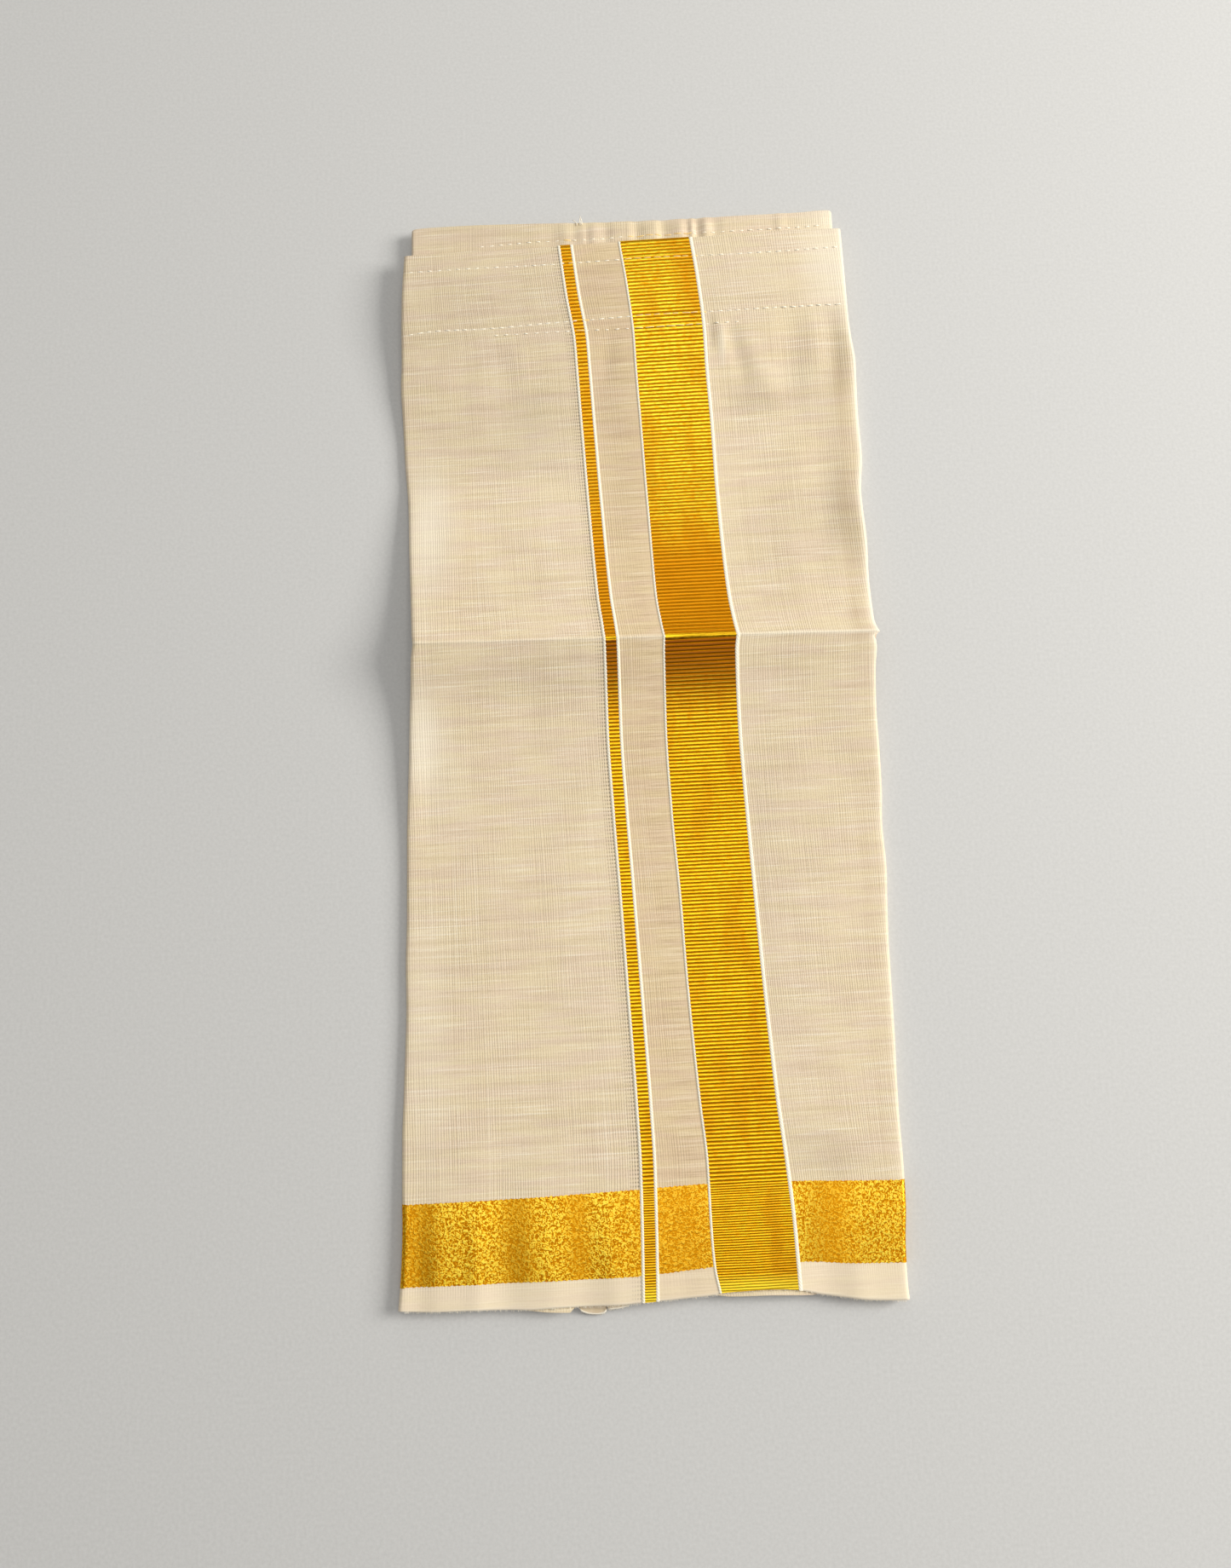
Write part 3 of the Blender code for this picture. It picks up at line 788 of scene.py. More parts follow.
def spots(n, table):
    """Sum of soft spots of painted shade or painted highlight, with a place and a strength each."""
    place, level = n.pair("Rows")
    total = 0.0
    for x, middle, half_width, half_length, strength in table:
        spot = n.times(n.near(place, x, half_width), n.near(level, middle, half_length))
        total = n.line(n.math("SMOOTH_MIN", spot, 0.6, 0.5), strength, total)
    return total


def painted_side_light(n, level):
    """Painted highlight on the rounded side fold on the right, with painted shade inside it."""
    _, to_right = n.pair("Sides")
    patchy = n.ramp(n.noise(n.vector(level, 4.0), 0.045), (0.36, 0.25), (0.62, 1.0))
    above = n.by_place(level, (20.0, 0.25), (30.0, 1.0), (144.0, 1.0), (156.0, 0.0))
    # Painted shade in a patchy band a few millimetres inside the right side fold
    n.paint(COTTON_DARK, n.near(to_right, 6.4, 4.8), patchy, above, 0.40)
    # Painted highlight on the fold's rounded rim
    n.paint(COTTON_RIM_HIGHLIGHT, n.near(to_right, 0.6, 2.2), n.line(above, 0.6, 0.4), 0.55)


def front_details(n, across, along):
    """Tint of the middle panel, painted highlight and shade at the right side fold, gaps beside the narrow
    border, painted highlight along the crease and paler hem.
    """
    place, level = n.pair("Rows")
    n.tint(MIDDLE_TINT, n.times(n.math("GREATER_THAN", across, 3.0), n.math("LESS_THAN", across, 22.0)))
    painted_side_light(n, level)
    n.paint(GAP_BROWN, ladder(n, across, along))
    # Painted highlight along the crease, stronger towards the right
    n.paint(COTTON_CREASE_HIGHLIGHT, n.near(level, CREASE, 1.1), n.by_place(place, (-80.0, 0.25), (80.0, 0.75)))
    lines = n.ramp(n.stretched((across, along), 0.05, 1.5, 2.0, 0.6), (0.36, 0.42), (0.50, 0.0))
    n.paint(COTTON_DARK, lines, n.near(across, 16.0, 7.0))
    n.paint(COTTON_PALE, seam_lines(n), 0.22)
    n.paint(COTTON_HEM, n.by_place(level, (-184.0, 1.0), (-182.5, 0.0)), 0.5)
    n.paint(COTTON_EDGE, n.near(level, HEM, 0.9), 0.6)


def ladder(n, across, along):
    """1 on the small gaps that run in columns beside the narrow border's left cord."""
    ticks = n.ramp(n.wave(along, 1.3), (0.45, 0.0), (0.8, 1.0))
    total = 0.0
    for column, strength in ((-1.4, 0.9), (-2.2, 0.7), (-3.0, 0.45), (-3.8, 0.3)):
        total = n.line(n.math("COMPARE", across, column, 0.24), strength, total)
    return n.times(total, ticks)


# Colour of the painted shade in the hollows between the ribs
GOLD_VALLEY_SHADE = (0.46, 0.155, 0.0015)
GOLD_LOW = (0.90, 0.44, 0.006)
GOLD_HIGH = (1.0, 0.62, 0.020)
GOLD_YELLOW = (1.0, 0.780, 0.048)
# Orange of random patches, and of the painted dim reflection above the crease and at the upper right
GOLD_ORANGE = (0.68, 0.26, 0.006)
# Colour of the painted shade below the crease
GOLD_CREASE_SHADE = (0.21, 0.055, 0.006)
GRAZING_GOLD = (1.0, 0.74, 0.30, 1.0)


def gold_material(name, painted_shade):
    """Ribs of metallic yarn; the map's second coordinate counts the ribs. The second argument is how much
    painted dim orange reflection stays on the upper half.
    """
    n = Nodes(name)
    across, count = n.pair("Weave")
    place, level = n.pair("Rows")
    edge = n.math("ABSOLUTE", n.math("SUBTRACT", n.math("FRACT", count), 0.5))
    edge = n.shaken(n.stretched((across, count), 1.2, 3.1, 2.0, 0.6), 0.14, edge)
    valley_shade = n.ramp(edge, (0.18, 0.0), (0.40, 1.0))
    grain = n.stretched((across, count), 0.5, 1.7, 3.0, 0.6)
    patch = n.stretched((across, level), 0.11, 0.035)
    bright = n.by_place(level, (-17.9, 0.0), (92.9, 0.65), (167.9, 1.0))
    bright = n.blend(bright, GOLD_HIGH, GOLD_YELLOW)
    n.base = n.blend(n.ramp(grain, (0.34, 0.0), (0.56, 1.0)), GOLD_LOW, bright)
    n.paint(GOLD_ORANGE, n.ramp(patch, (0.36, 0.40), (0.50, 0.0)))
    # Painted dim orange reflection on the upper right of the band, where the cloth tilts
    upper_right_shade = n.times(n.near(place, 26.0, 11.0), n.near(level, 168.0, 30.0))
    n.paint(GOLD_ORANGE, n.ramp(upper_right_shade, (0.1, 0.0), (0.6, 0.60)))
    # Painted dim orange reflection above the crease; further up only the second argument's share of it stays
    is_above = n.math("GREATER_THAN", level, CREASE)
    n.paint(GOLD_ORANGE, n.by_place(level, (30.0, 0.9), (59.0, 0.9), (79.0, painted_shade)), is_above)
    # Painted shade below the crease: dark brown reflection on the slope that faces away from the lights, in
    # the hollows before the rib tops
    shifted = n.line(n.math("SUBTRACT", edge, 0.25), 22.0, level)
    below = n.by_place(shifted, (-60.0, 0.0), (-3.0, 0.06), (3.0, 0.26), (15.0, 0.90), (27.0, 1.0))
    n.paint(GOLD_CREASE_SHADE, below, n.math("SUBTRACT", 1.0, is_above))
    # Painted shade in the hollows between the ribs
    n.paint(GOLD_VALLEY_SHADE, valley_shade)
    # Painted highlight along the gold's crease line
    crease_highlight = n.times(n.near(n.shaken(grain, 1.6, level), CREASE + 0.1, 1.1), 1.2)
    n.paint(GOLD_HIGH, n.math("MINIMUM", crease_highlight, 1.0))
    n.paint(GOLD_YELLOW, n.near(level, HEM + 1.0, 4.5), 0.7)
    n.set(Base_Color=n.base, Metallic=1.0, Roughness=0.33, Specular_Tint=GRAZING_GOLD)
    n.raise_by(grain, 0.03)
    return n.material


# Colours of the flecked band, from its hollows to its brightest flecks
#   noise value, colour
FLECKS = (
    (0.43, (0.58, 0.21, 0.003)),
    (0.485, (0.88, 0.40, 0.008)),
    (0.525, (0.97, 0.59, 0.028)),
    (0.58, (1.0, 0.72, 0.070)),
)
# Colour of the painted shade in the troughs
TROUGH_SHADE_FLECKS = (0.74, 0.315, 0.006)
# Stretches of painted shade along the flecked band's troughs
#   x, half_width, strength
TROUGH_SHADE = ((-79, 9, 1.0), (-46.7, 8, 0.9), (-26.3, 6, 0.9), (7, 26, 0.9), (57.6, 10, 0.95))


def speckled_material(name):
    """Flat metallic yarn, bright and dim in short crooked flecks, with painted shade along the band's
    troughs.
    """
    n = Nodes(name)
    across, along = n.pair("Weave")
    place, _ = n.pair("Rows")
    where = n.vector(n.times(across, 1.12), along)
    fleck = n.noise(where, 1.30, 0.0, 0.5, 1.1)
    fine = n.noise(where, 3.1, 1.0, 0.6, 0.3)
    mixed = n.line(fine, 0.15, n.times(fleck, 0.85))
    # Painted shade along the band's troughs
    painted_shade = 0.0
    for middle, half_width, strength in TROUGH_SHADE:
        painted_shade = n.math("MAXIMUM", n.times(n.near(place, middle, half_width), strength), painted_shade)
    painted_shade = n.ramp(painted_shade, (0.0, 0.0), (0.75, 1.0))
    n.base = n.ramp(mixed, *FLECKS)
    n.paint(TROUGH_SHADE_FLECKS, painted_shade, 0.62)
    n.set(Base_Color=n.base, Metallic=1.0, Specular_Tint=GRAZING_GOLD)
    n.set(Roughness=n.ramp(mixed, (0.42, 0.42), (0.60, 0.32)))
    n.raise_by(mixed, 0.09)
    return n.material


def cord_material(name):
    """Thick off-white cotton cord; the map's second coordinate is in twists."""
    n = Nodes(name)
    around, turns = n.pair("Weave")
    twist = n.wave(n.math("ADD", turns, around), 1.0)
    fuzz = n.stretched((around, turns), 5.0, 5.0, 3.0, 0.6)
    colour = n.ramp(twist, (0.05, (0.80, 0.73, 0.56)), (0.6, (0.89, 0.84, 0.70)), (1.0, (0.92, 0.88, 0.76)))
    n.set(Base_Color=colour, Roughness=0.8, Sheen_Weight=0.3, Specular_IOR_Level=0.25)
    n.raise_by(n.line(fuzz, 0.4, twist), 0.03)
    return n.material


def thread_material(name, low, high):
    """Sewing thread with a fine twist."""
    n = Nodes(name)
    fuzz = n.noise(n.node("ShaderNodeTexCoord").outputs["Object"], 5200.0, 2.0, 0.6)
    n.set(Base_Color=n.ramp(fuzz, (0.3, low), (0.7, high)), Roughness=0.6)
    n.raise_by(fuzz, 0.03)
    return n.material


def floor_material():
    """A plain pale surface."""
    n = Nodes("pale_floor")
    grain = n.noise(n.node("ShaderNodeTexCoord").outputs["Object"], 900.0, 3.0, 0.6)
    n.set(Base_Color=n.ramp(grain, (0.3, (0.56, 0.56, 0.55)), (0.7, (0.62, 0.62, 0.61))), Roughness=0.9)
    return n.material


# Cloth

def gold_edges(level):
    """Edges of the narrow and the wide gold, without their cords."""
    narrow = smooth(WARPS, level, 1)
    return narrow, narrow + NARROW_GOLD, smooth(WARPS, level, 2), smooth(WARPS, level, 3)


def left_fold(level):
    """x where the flat face ends and the left side fold begins."""
    return smooth(LEFT_EDGE, level) + CURL


def right_fold(level):
    return smooth(RIGHT_EDGE, level) - CURL


NEAR_CREASE = (0.25, 0.6, 1.1, 1.8)
PAST_CREASE = 2.8
PANEL_COLUMNS = (52, 4, 12, 10, 26)
CURL_ANGLES = tuple(range(18, 181, 18))
RETURN_STEPS = (0.5, 1.0)


def front_levels(pitch):
    """Levels from the hem to the waist fold, closer together at the hem and at the crease."""
    levels = [HEM, HEM + 0.6] + spread(HEM + 1.4, CREASE - PAST_CREASE, pitch)
    levels += [CREASE - step for step in (PAST_CREASE, *NEAR_CREASE[::-1])] + [CREASE]
    levels += [CREASE + step for step in NEAR_CREASE] + spread(CREASE + PAST_CREASE, LAST_FLAT, pitch)
    return levels + [LAST_FLAT]


def front_columns(level):
    """x of each column between the side folds; the columns follow the warp."""
    stops = (left_fold(level), *gold_edges(level), right_fold(level))
    columns = []
    for start, end, count in zip(stops, stops[1:], PANEL_COLUMNS):
        columns += [mix(start, end, step / count) for step in range(count)]
    return columns + [stops[-1]]


def side_return(edge, side, lip):
    """Places where the cloth curls round a side and a little way back underneath."""
    x, y, z = edge
    found = []
    for angle in map(radians, CURL_ANGLES):
        across, up = sin(angle), cos(angle)
        found.append((x + side * CURL * across, y, max(GROUND, z - CURL * (1 - up))))
    for step in RETURN_STEPS:
        found.append((x - side * lip * step, y, max(GROUND, z - 2 * CURL)))
    return found


def front_row(level):
    """One row of the front, side folds included: places and the pairs of its maps."""
    lip = mix(LIP, LIP_AT_WAIST, clamp((level - LIP_SHORTENS) / LIP_FADE))
    flat = [(x, row_y(x, level), top(x, level)) for x in front_columns(level)]
    row = side_return(flat[0], -1, lip)[::-1] + flat + side_return(flat[-1], 1, lip)
    arc = [CURL * radians(angle) for angle in CURL_ANGLES]
    arc += [arc[-1] + lip * step for step in RETURN_STEPS]
    weave = [(warp_place(x, level), weft_place(x, y)) for x, y, _ in flat]
    (first, low), (last, high) = weave[0], weave[-1]
    left, right = smooth(LEFT_EDGE, level), smooth(RIGHT_EDGE, level)
    maps = {
        "Weave": [(first - a, low) for a in arc[::-1]] + weave + [(last + a, high) for a in arc],
        "Rows": [(x, level) for x, _, _ in row],
        "Seams": [(y - smooth(STITCH_UPPER, x), y - smooth(STITCH_SEAM, x)) for x, y, _ in row],
        "Sides": [(x - left, right - x) for x, _, _ in row],
    }
    return row, maps


def waist_turn(row, maps, angle):
    """The last row turned round the waist fold; the side folds close with a rounded end."""
    returned = len(CURL_ANGLES) + len(RETURN_STEPS)
    turn = radians(angle)
    places, turned = [], {title: [] for title in maps}
    for index, (x, y, z) in enumerate(row):
        share = clamp((min(index, len(row) - 1 - index) - returned) / 3.0)
        edge_z = row[returned if 2 * index < len(row) else -1 - returned][2]
        closed_y = y + CLOSED_END * sin(0.5 * turn)
        closed_z = edge_z - CURL + (z - edge_z + CURL) * cos(0.5 * turn)
        round_y = y + FOLD_RADIUS * sin(turn)
        round_z = z - FOLD_RADIUS * (1 - cos(turn))
        places.append((x, mix(closed_y, round_y, share), mix(closed_z, round_z, share)))
        for title, pairs in maps.items():
            u, v = pairs[index]
            turned[title].append((u, v + mix(CLOSED_END, FOLD_RADIUS, share) * turn))
    return places, turned


def front_sheet(cotton):
    made_rows = [front_row(level) for level in front_levels(1.8)]
    made_rows += [waist_turn(*made_rows[-1], angle) for angle in range(20, 181, 20)]
    made = sheet_object("front_sheet", made_rows, cotton, CLOTH)
    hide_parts("front_cloth")
    return made


def casing_row(level):
    """One row of the casing, a little inside the front's side folds."""
    left, right = left_fold(level) + CASING_INSET, right_fold(level) - CASING_INSET
    xs = [mix(left, right, step / 60) for step in range(61)]
    row = [(x, row_y(x, level), top(x, level) - 2 * FOLD_RADIUS) for x in xs]
    return row, {"Weave": [(warp_place(x, level), 2 * LAST_FLAT - level) for x in xs]}


def casing_sheet(cotton):
    """The turned-down inside of the front's waist casing."""
    levels = spread(LAST_FLAT - 0.2, CASING_EDGE, 3.0) + [CASING_EDGE]
    made = sheet_object("casing_sheet", [casing_row(level) for level in levels], cotton, CLOTH)
    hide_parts("front_casing")
    return made


def hidden_span(x, level):
    """Highest and lowest height that the hidden layers may take."""
    under_front = top(x, level) - CLOTH - 0.2
    under_casing = top(x, level) - 2 * STEP
    share = clamp((level - CASING_ROOM) / (CASING_EDGE - CASING_ROOM))
    return mix(under_front, under_casing, share), underside(x, level) + GROUND


# Hidden layers from the top one down
#   hem, insets from the left and right edges, first and last share of the height
HIDDEN_LAYERS = (
    (UNDER_HEM, (0.95, 0.95), (0.0, 0.30)),
    (THIRD_HEM, (0.75, 1.5), (0.34, 0.64)),
    (tuple((x, y + 0.6) for x, y in THIRD_HEM), (4.4, 4.4), (0.68, 1.0)),
)
SLAB_STEPS = 48


def hidden_slab(order, levels):
    """One hidden layer as a closed thin slab with rounded sides."""
    hem, (inset_left, inset_right), (start, end) = HIDDEN_LAYERS[order]
    rows, uvs = [], []
    for level in levels:
        left = smooth(LEFT_EDGE, level) + inset_left + 0.25 * rough(level / 19.0, order, 0.3)
        right = smooth(RIGHT_EDGE, level) - inset_right - 0.25 * rough(level / 23.0, order, 5.3)
        upper, lower = [], []
        for step in range(SLAB_STEPS + 1):
            x = mix(left, right, step / SLAB_STEPS)
            y = row_y(x, level)
            if level == levels[0]:
                y = smooth(hem, x) if order else straight(hem, x)
            high, low = hidden_span(x, level)
            from_side = min(step, SLAB_STEPS - step)
            tuck = 0.5 if from_side == 0 else 0.08 if from_side == 1 else 0.0
            upper.append((x, y, mix(high, low, mix(start, end, tuck))))
            lower.append((x, y, mix(high, low, mix(end, start, tuck * 0.98))))
        rows.append(upper + lower[::-1])
        uvs.append([(warp_place(x, level), y) for x, y, _ in rows[-1]])
    return rows, uvs


def joined(name, grids, finish):
    """Closed rings of several slabs as one object, with capped ends."""
    verts, faces, pairs = [], [], []
    for rows, uvs in grids:
        base, columns = len(verts), len(rows[0])
        verts += metres(rows)
        pairs += [pair for row in uvs for pair in row]
        faces += ring_faces(base, len(rows), columns)
        for first, flip in ((base, True), (base + (len(rows) - 1) * columns, False)):
            for j in range(columns // 2 - 1):
                quad = (first + j, first + j + 1, first + columns - 2 - j, first + columns - 1 - j)
                faces.append(quad[::-1] if flip else quad)
    made = mesh_object(name, verts, faces, finish, {"Weave": pairs})
    made.data.set_sharp_from_angle(angle=radians(50))
    return made


def hidden_layers(cotton):
    """The layers between the front and the surface, stacked, with their edges apart."""
    levels = [HEM, HEM + 3.0] + spread(HEM + 6.0, CREASE, 4.0) + spread(CREASE, BACK_SEAM, 4.0) + [BACK_SEAM]
    grids = [hidden_slab(order, levels) for order in range(len(HIDDEN_LAYERS))]
    made = joined("hidden_layers", grids, cotton)
    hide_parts("folded_layers", "under_hem")
    return made


def back_limb(x):
    """Upper limb of the back's waistband at x, from under the front up to its fold: (y, z) places."""
    rise = 0.9 * smooth(PLEATS, x) + 0.04 * rough(x / 3.0, 0.0, 2.2)
    fold_y = row_y(x, LAST_FLAT)
    shown = top(x, LAST_FLAT) - 2 * STEP
    edge = smooth(BACK_EDGE, x) - FOLD_RADIUS
    start = fold_y + FOLD_RADIUS + 0.3
    limb = [(row_y(x, level), top(x, level) - 2 * STEP) for level in (BACK_SEAM + 0.3, 170.0, 175.0, 180.0)]
    limb += [(fold_y, shown + 0.2 * rise), (start, shown + 0.55 * rise)]
    for share in (0.2, 0.4, 0.6, 0.8, 1.0):
        fading = 1.0 - 1.5 * max(0.0, share - 0.6)
        lifted = rise * fading * (0.55 + 0.45 * min(1.0, 2.0 * share))
        limb.append((mix(start, edge, share), shown - 0.3 * share + lifted))
    return limb


def back_column(x, drop):
    """One column of the back's waistband: up over its fold and back below; drop rounds off its ends."""
    limb = [(y, z - drop) for y, z in back_limb(x)]
    edge, centre = limb[-1][0], limb[-1][1] - FOLD_RADIUS + 0.45 * drop
    radius = FOLD_RADIUS - 0.5 * drop
    turn = [radians(angle) for angle in range(20, 161, 20)]
    path = limb + [(edge + radius * sin(a), centre + radius * cos(a)) for a in turn]
    path += [(y, z - 2 * FOLD_RADIUS + 2.1 * drop) for y, z in limb[::-1]]
    weave, length = [], BACK_SEAM
    for (y0, z0), (y1, z1) in zip([path[0]] + path, path):
        length += hypot(y1 - y0, z1 - z0)
        weave.append((x + 3.0, length))
    # The back takes the painted shade and highlight spots of one level
    return [(x, y, z) for y, z in path], {"Weave": weave, "Rows": [(x, BACK_PAINTED_LIGHT_LEVEL)] * len(path)}


def back_sheet(cotton):
    """The back's waistband: turned over its fold, with small pleats where it shows."""
    left, right = BACK_EDGE[0][0], BACK_EDGE[-1][0]
    turns = map(radians, (85, 60, 30))
    ends = [(END_CURL * (1 - sin(a)), END_CURL * (1 - cos(a))) for a in turns]
    places = [(left + inward, drop) for inward, drop in ends]
    places += [(mix(left + END_CURL, right - END_CURL, step / 260), 0.0) for step in range(261)]
    places += [(right - inward, drop) for inward, drop in ends[::-1]]
    made = sheet_object("back_sheet", [back_column(x, drop) for x, drop in places[::-1]], cotton, CLOTH)
    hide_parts("back_waist")
    return made


def flap_column(edge_table, lift, share):
    """One column of a small flap past the hem, creased along and with its lower edge rolled up."""
    x = mix(edge_table[0][0], edge_table[-1][0], share)
    edge = straight(edge_table, x) + 0.08 * rough(x * 1.9, 0.0, lift)
    high = top(x, HEM) - 2 * STEP + lift + 0.15 * bump((share - 0.5) * 1.6)
    places = [(x, mix(FLAP_ROOT, edge, along), high + up) for along, up in FLAP_SECTION]
    return places, {"Weave": [(x * 0.12, y * 0.8) for _, y, _ in places]}


def hem_corner(cotton):
    """Folded, frayed corners of a deeper layer that stick out past the hem."""
    for name, edge_table, lift in FLAPS:
        columns = [flap_column(edge_table, lift, step / 24) for step in range(25)]
        made = sheet_object(name, columns[::-1], cotton, FLAP_THICKNESS)
        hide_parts("hem_corner")


# Gold

def rib_lines():
    """Weft coordinate and pitch of each gold rib, from past the hem to past the waist fold."""
    rng = random.Random(3)
    found = []
    weft = HEM - 6.0
    while weft < FOLD + 8.0:
        pitch = smooth(RIB_PITCH, weft) * rng.uniform(0.94, 1.06)
        found.append((weft, pitch, rng.uniform(0.85, 1.1)))
        weft += pitch
    return found


def past_fold(level):
    """Angle by which a level has turned round the waist fold."""
    return (level - LAST_FLAT) / FOLD_RADIUS


def round_fold(x, turn, height):
    """Place at a height over the cloth that has turned by an angle round the waist fold."""
    out = FOLD_RADIUS + height
    y, z = row_y(x, LAST_FLAT), top(x, LAST_FLAT) - FOLD_RADIUS
    return x, y + out * sin(turn), z + out * cos(turn)


def gold_point(share, weft, height, edges):
    """Place of a point of the ribs, with its level; past the last flat row it turns with the waist fold."""
    level = weft
    for _ in range(3):
        x = mix(*edges(level), share)
        y = weft_y(x, weft) + 0.12 * rough(x / 9.0, weft * 1.3, 7.0)
        level = level_at(x, y)
    if level > LAST_FLAT:
        return *round_fold(x, min(past_fold(level), 0.5 * pi), RIB_BASE + height), level
    level = max(level, HEM)
    return x, max(y, row_y(x, HEM)), top(x, level) + RIB_BASE + height, level


def gold_band(name, columns, edges, gold, node):
    """Ribbed gold from hem to waist fold, following weft and warp."""
    made_rows = []
    for index, (weft, pitch, strength) in enumerate(rib_lines()):
        for phase, rise in RIB_SHAPE:
            height = RIB_HEIGHT * rise * strength * min(1.0, pitch / 1.25)
            shares = [step / columns for step in range(columns + 1)]
            found = [gold_point(share, weft + phase * pitch, height, edges) for share in shares]
            levels = [level for *_, level in found]
            if max(levels) > HEM and past_fold(min(levels)) <= 0.5 * pi:
                weave = [(warp_place(x, min(level, FOLD)), index + phase) for x, _, _, level in found]
                rows = [(x, level) for x, _, _, level in found]
                made_rows.append(([(x, y, z) for x, y, z, _ in found], {"Weave": weave, "Rows": rows}))
    made = sheet_object(name, made_rows, gold)
    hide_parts(node)
    return made


def narrow_edges(level):
    narrow = smooth(WARPS, level, 1)
    return narrow - 0.1, narrow + NARROW_GOLD + 0.1


def wide_edges(level):
    return smooth(WARPS, level, 2) - 0.1, smooth(WARPS, level, 3) + 0.1


# Cords along the gold
#   name, width, edges of its gold, side of the gold, twist length
CORDS = (
    ("cord_narrow_left", 1.15, narrow_edges, -1, 1.0),
    ("cord_narrow_right", 1.15, narrow_edges, 1, 1.0),
    ("cord_wide_left", 0.95, wide_edges, -1, 0.9),
    ("cord_wide_right", 1.4, wide_edges, 1, 1.05),
)
CORD_ANGLES = tuple(radians(angle) for angle in (-90, -60, -35, -12, 12, 35, 60, 90))


def cord_row(level, width, height, edges, side, twist):
    """One row over the rounded top of a cord."""
    centre = edges(level)[side > 0] + side * (0.5 * width - 0.15)
    wobble = 1.0 + 0.05 * rough(level * 0.6, width, 1.0)
    row, pairs = [], []
    for angle in CORD_ANGLES:
        x = centre + 0.5 * width * wobble * sin(angle)
        row.append((x, row_y(x, level), top(x, level) + height * cos(angle)))
        pairs.append((0.5 * sin(angle) * width, level / twist))
    return row, {"Weave": pairs}


def cord_strip(name, width, edges, side, twist, finish):
    """A thick woven-in cord: a low rounded ridge with a twist, from hem to waist fold."""
    levels = spread(HEM, CREASE, 0.7) + spread(CREASE, LAST_FLAT, 0.7) + [LAST_FLAT]
    height = 0.22 + 0.06 * width
    made_rows = [cord_row(level, width, height, edges, side, twist) for level in levels]
    last, base = made_rows[-1]
    for turn in map(radians, range(15, 106, 15)):
        row = [round_fold(x, turn, height * cos(angle)) for (x, _, _), angle in zip(last, CORD_ANGLES)]
        made_rows.append((row, {"Weave": [(u, v + FOLD_RADIUS * turn / twist) for u, v in base["Weave"]]}))
    made = sheet_object(name, made_rows, finish)
    return made


# Flecked stretches of the end band
#   name, node, columns, side
STRETCHES = (
    ("flecked_left", "end_band_left", 94, -1),
    ("flecked_middle", "end_band_middle", 22, 0),
    ("flecked_right", "end_band_right", 44, 1),
)


def stretch_ends(level, side):
    """Both ends of a flecked stretch at a level."""
    narrow, wide = narrow_edges(level), wide_edges(level)
    if side < 0:
        return left_fold(level), narrow[0] - 0.5
    return (wide[1] + 0.8, right_fold(level)) if side else (narrow[1] + 0.5, wide[0] - 0.4)


def band_row(level, count, side, jagged):
    """One row of a flecked stretch: places and the pairs of its maps, side fold included."""
    first, last = stretch_ends(level, side)
    row, weave = [], []
    for step in range(count + 1):
        x = mix(first, last, step / count)
        y = row_y(x, level) + jagged * (0.13 * (-1) ** step + 0.22 * rough(x * 0.7, jagged, 4.0))
        row.append((x, y, top(x, level) + BAND_RISE))
        weave.append((warp_place(x, level), y))
    if side:
        (x, y, z), (u, v) = (row[0], weave[0]) if side < 0 else (row[-1], weave[-1])
        out = CURL + BAND_RISE
        turns = [radians(angle) for angle in range(18, 163, 18)]
        curl = [(x + side * out * sin(a), y, z - out + out * cos(a)) for a in turns]
        curl_weave = [(u + side * CURL * a, v) for a in turns]
        row = curl[::-1] + row if side < 0 else row + curl
        weave = curl_weave[::-1] + weave if side < 0 else weave + curl_weave
    return row, {"Weave": weave, "Rows": [(x, level) for x, _, _ in row]}


def end_band(name, node, count, side, finish):
    """One stretch of the flecked band, carried round the side fold where it meets one."""
    levels = spread(BAND_LOW, BAND_HIGH, 1.2) + [BAND_HIGH]
    jags = [-1.0] + [0.0] * (len(levels) - 2) + [1.0]
    made = sheet_object(name, [band_row(level, count, side, jag) for level, jag in zip(levels, jags)], finish)
    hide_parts(node)
    return made


# Thread

def thread_run(places, radius, sides=6):
    """Rings of a thin tube through a few places, in millimetres."""
    rings = []
    last = len(places) - 1
    for index, place in enumerate(places):
        heading = Vector(places[min(last, index + 1)]) - Vector(places[max(0, index - 1)])
        heading.normalize()
        side = heading.cross(Vector((0.0, 0.0, 1.0)))
        side = side.normalized() if side.length > 1e-6 else Vector((1.0, 0.0, 0.0))
        up = side.cross(heading)
        thin = radius * (0.45 if index in (0, last) else 1.0)
        turns = [2 * pi * k / sides for k in range(sides)]
        rings.append([tuple(Vector(place) + thin * (cos(a) * side + sin(a) * up)) for a in turns])
    return rings


def tubes_object(name, runs, finish):
    """Many thin closed tubes as one object."""
    verts, faces = [], []
    for rings in runs:
        base, sides = len(verts), len(rings[0])
        verts += metres(rings)
        faces += [(quad[0], *quad[:0:-1]) for quad in ring_faces(base, len(rings), sides)]
        faces.append(tuple(range(base, base + sides)))
        faces.append(tuple(range(len(verts) - sides, len(verts)))[::-1])
    made = mesh_object(name, verts, faces, finish)
    return made


def over_gold(x, y):
    narrow_left, narrow_right, wide_left, wide_right = gold_edges(level_at(x, y))
    return narrow_left < x < narrow_right or wide_left < x < wide_right


def on_front(x, y):
    """Height of the front's face, or of the gold where it covers the face."""
    return top(x, level_at(x, y)) + (RIB_HEIGHT if over_gold(x, y) else 0.0)


def on_back(x, y):
    """Height of the back's strip that shows past the front fold."""
    return straight(back_limb(x), y)


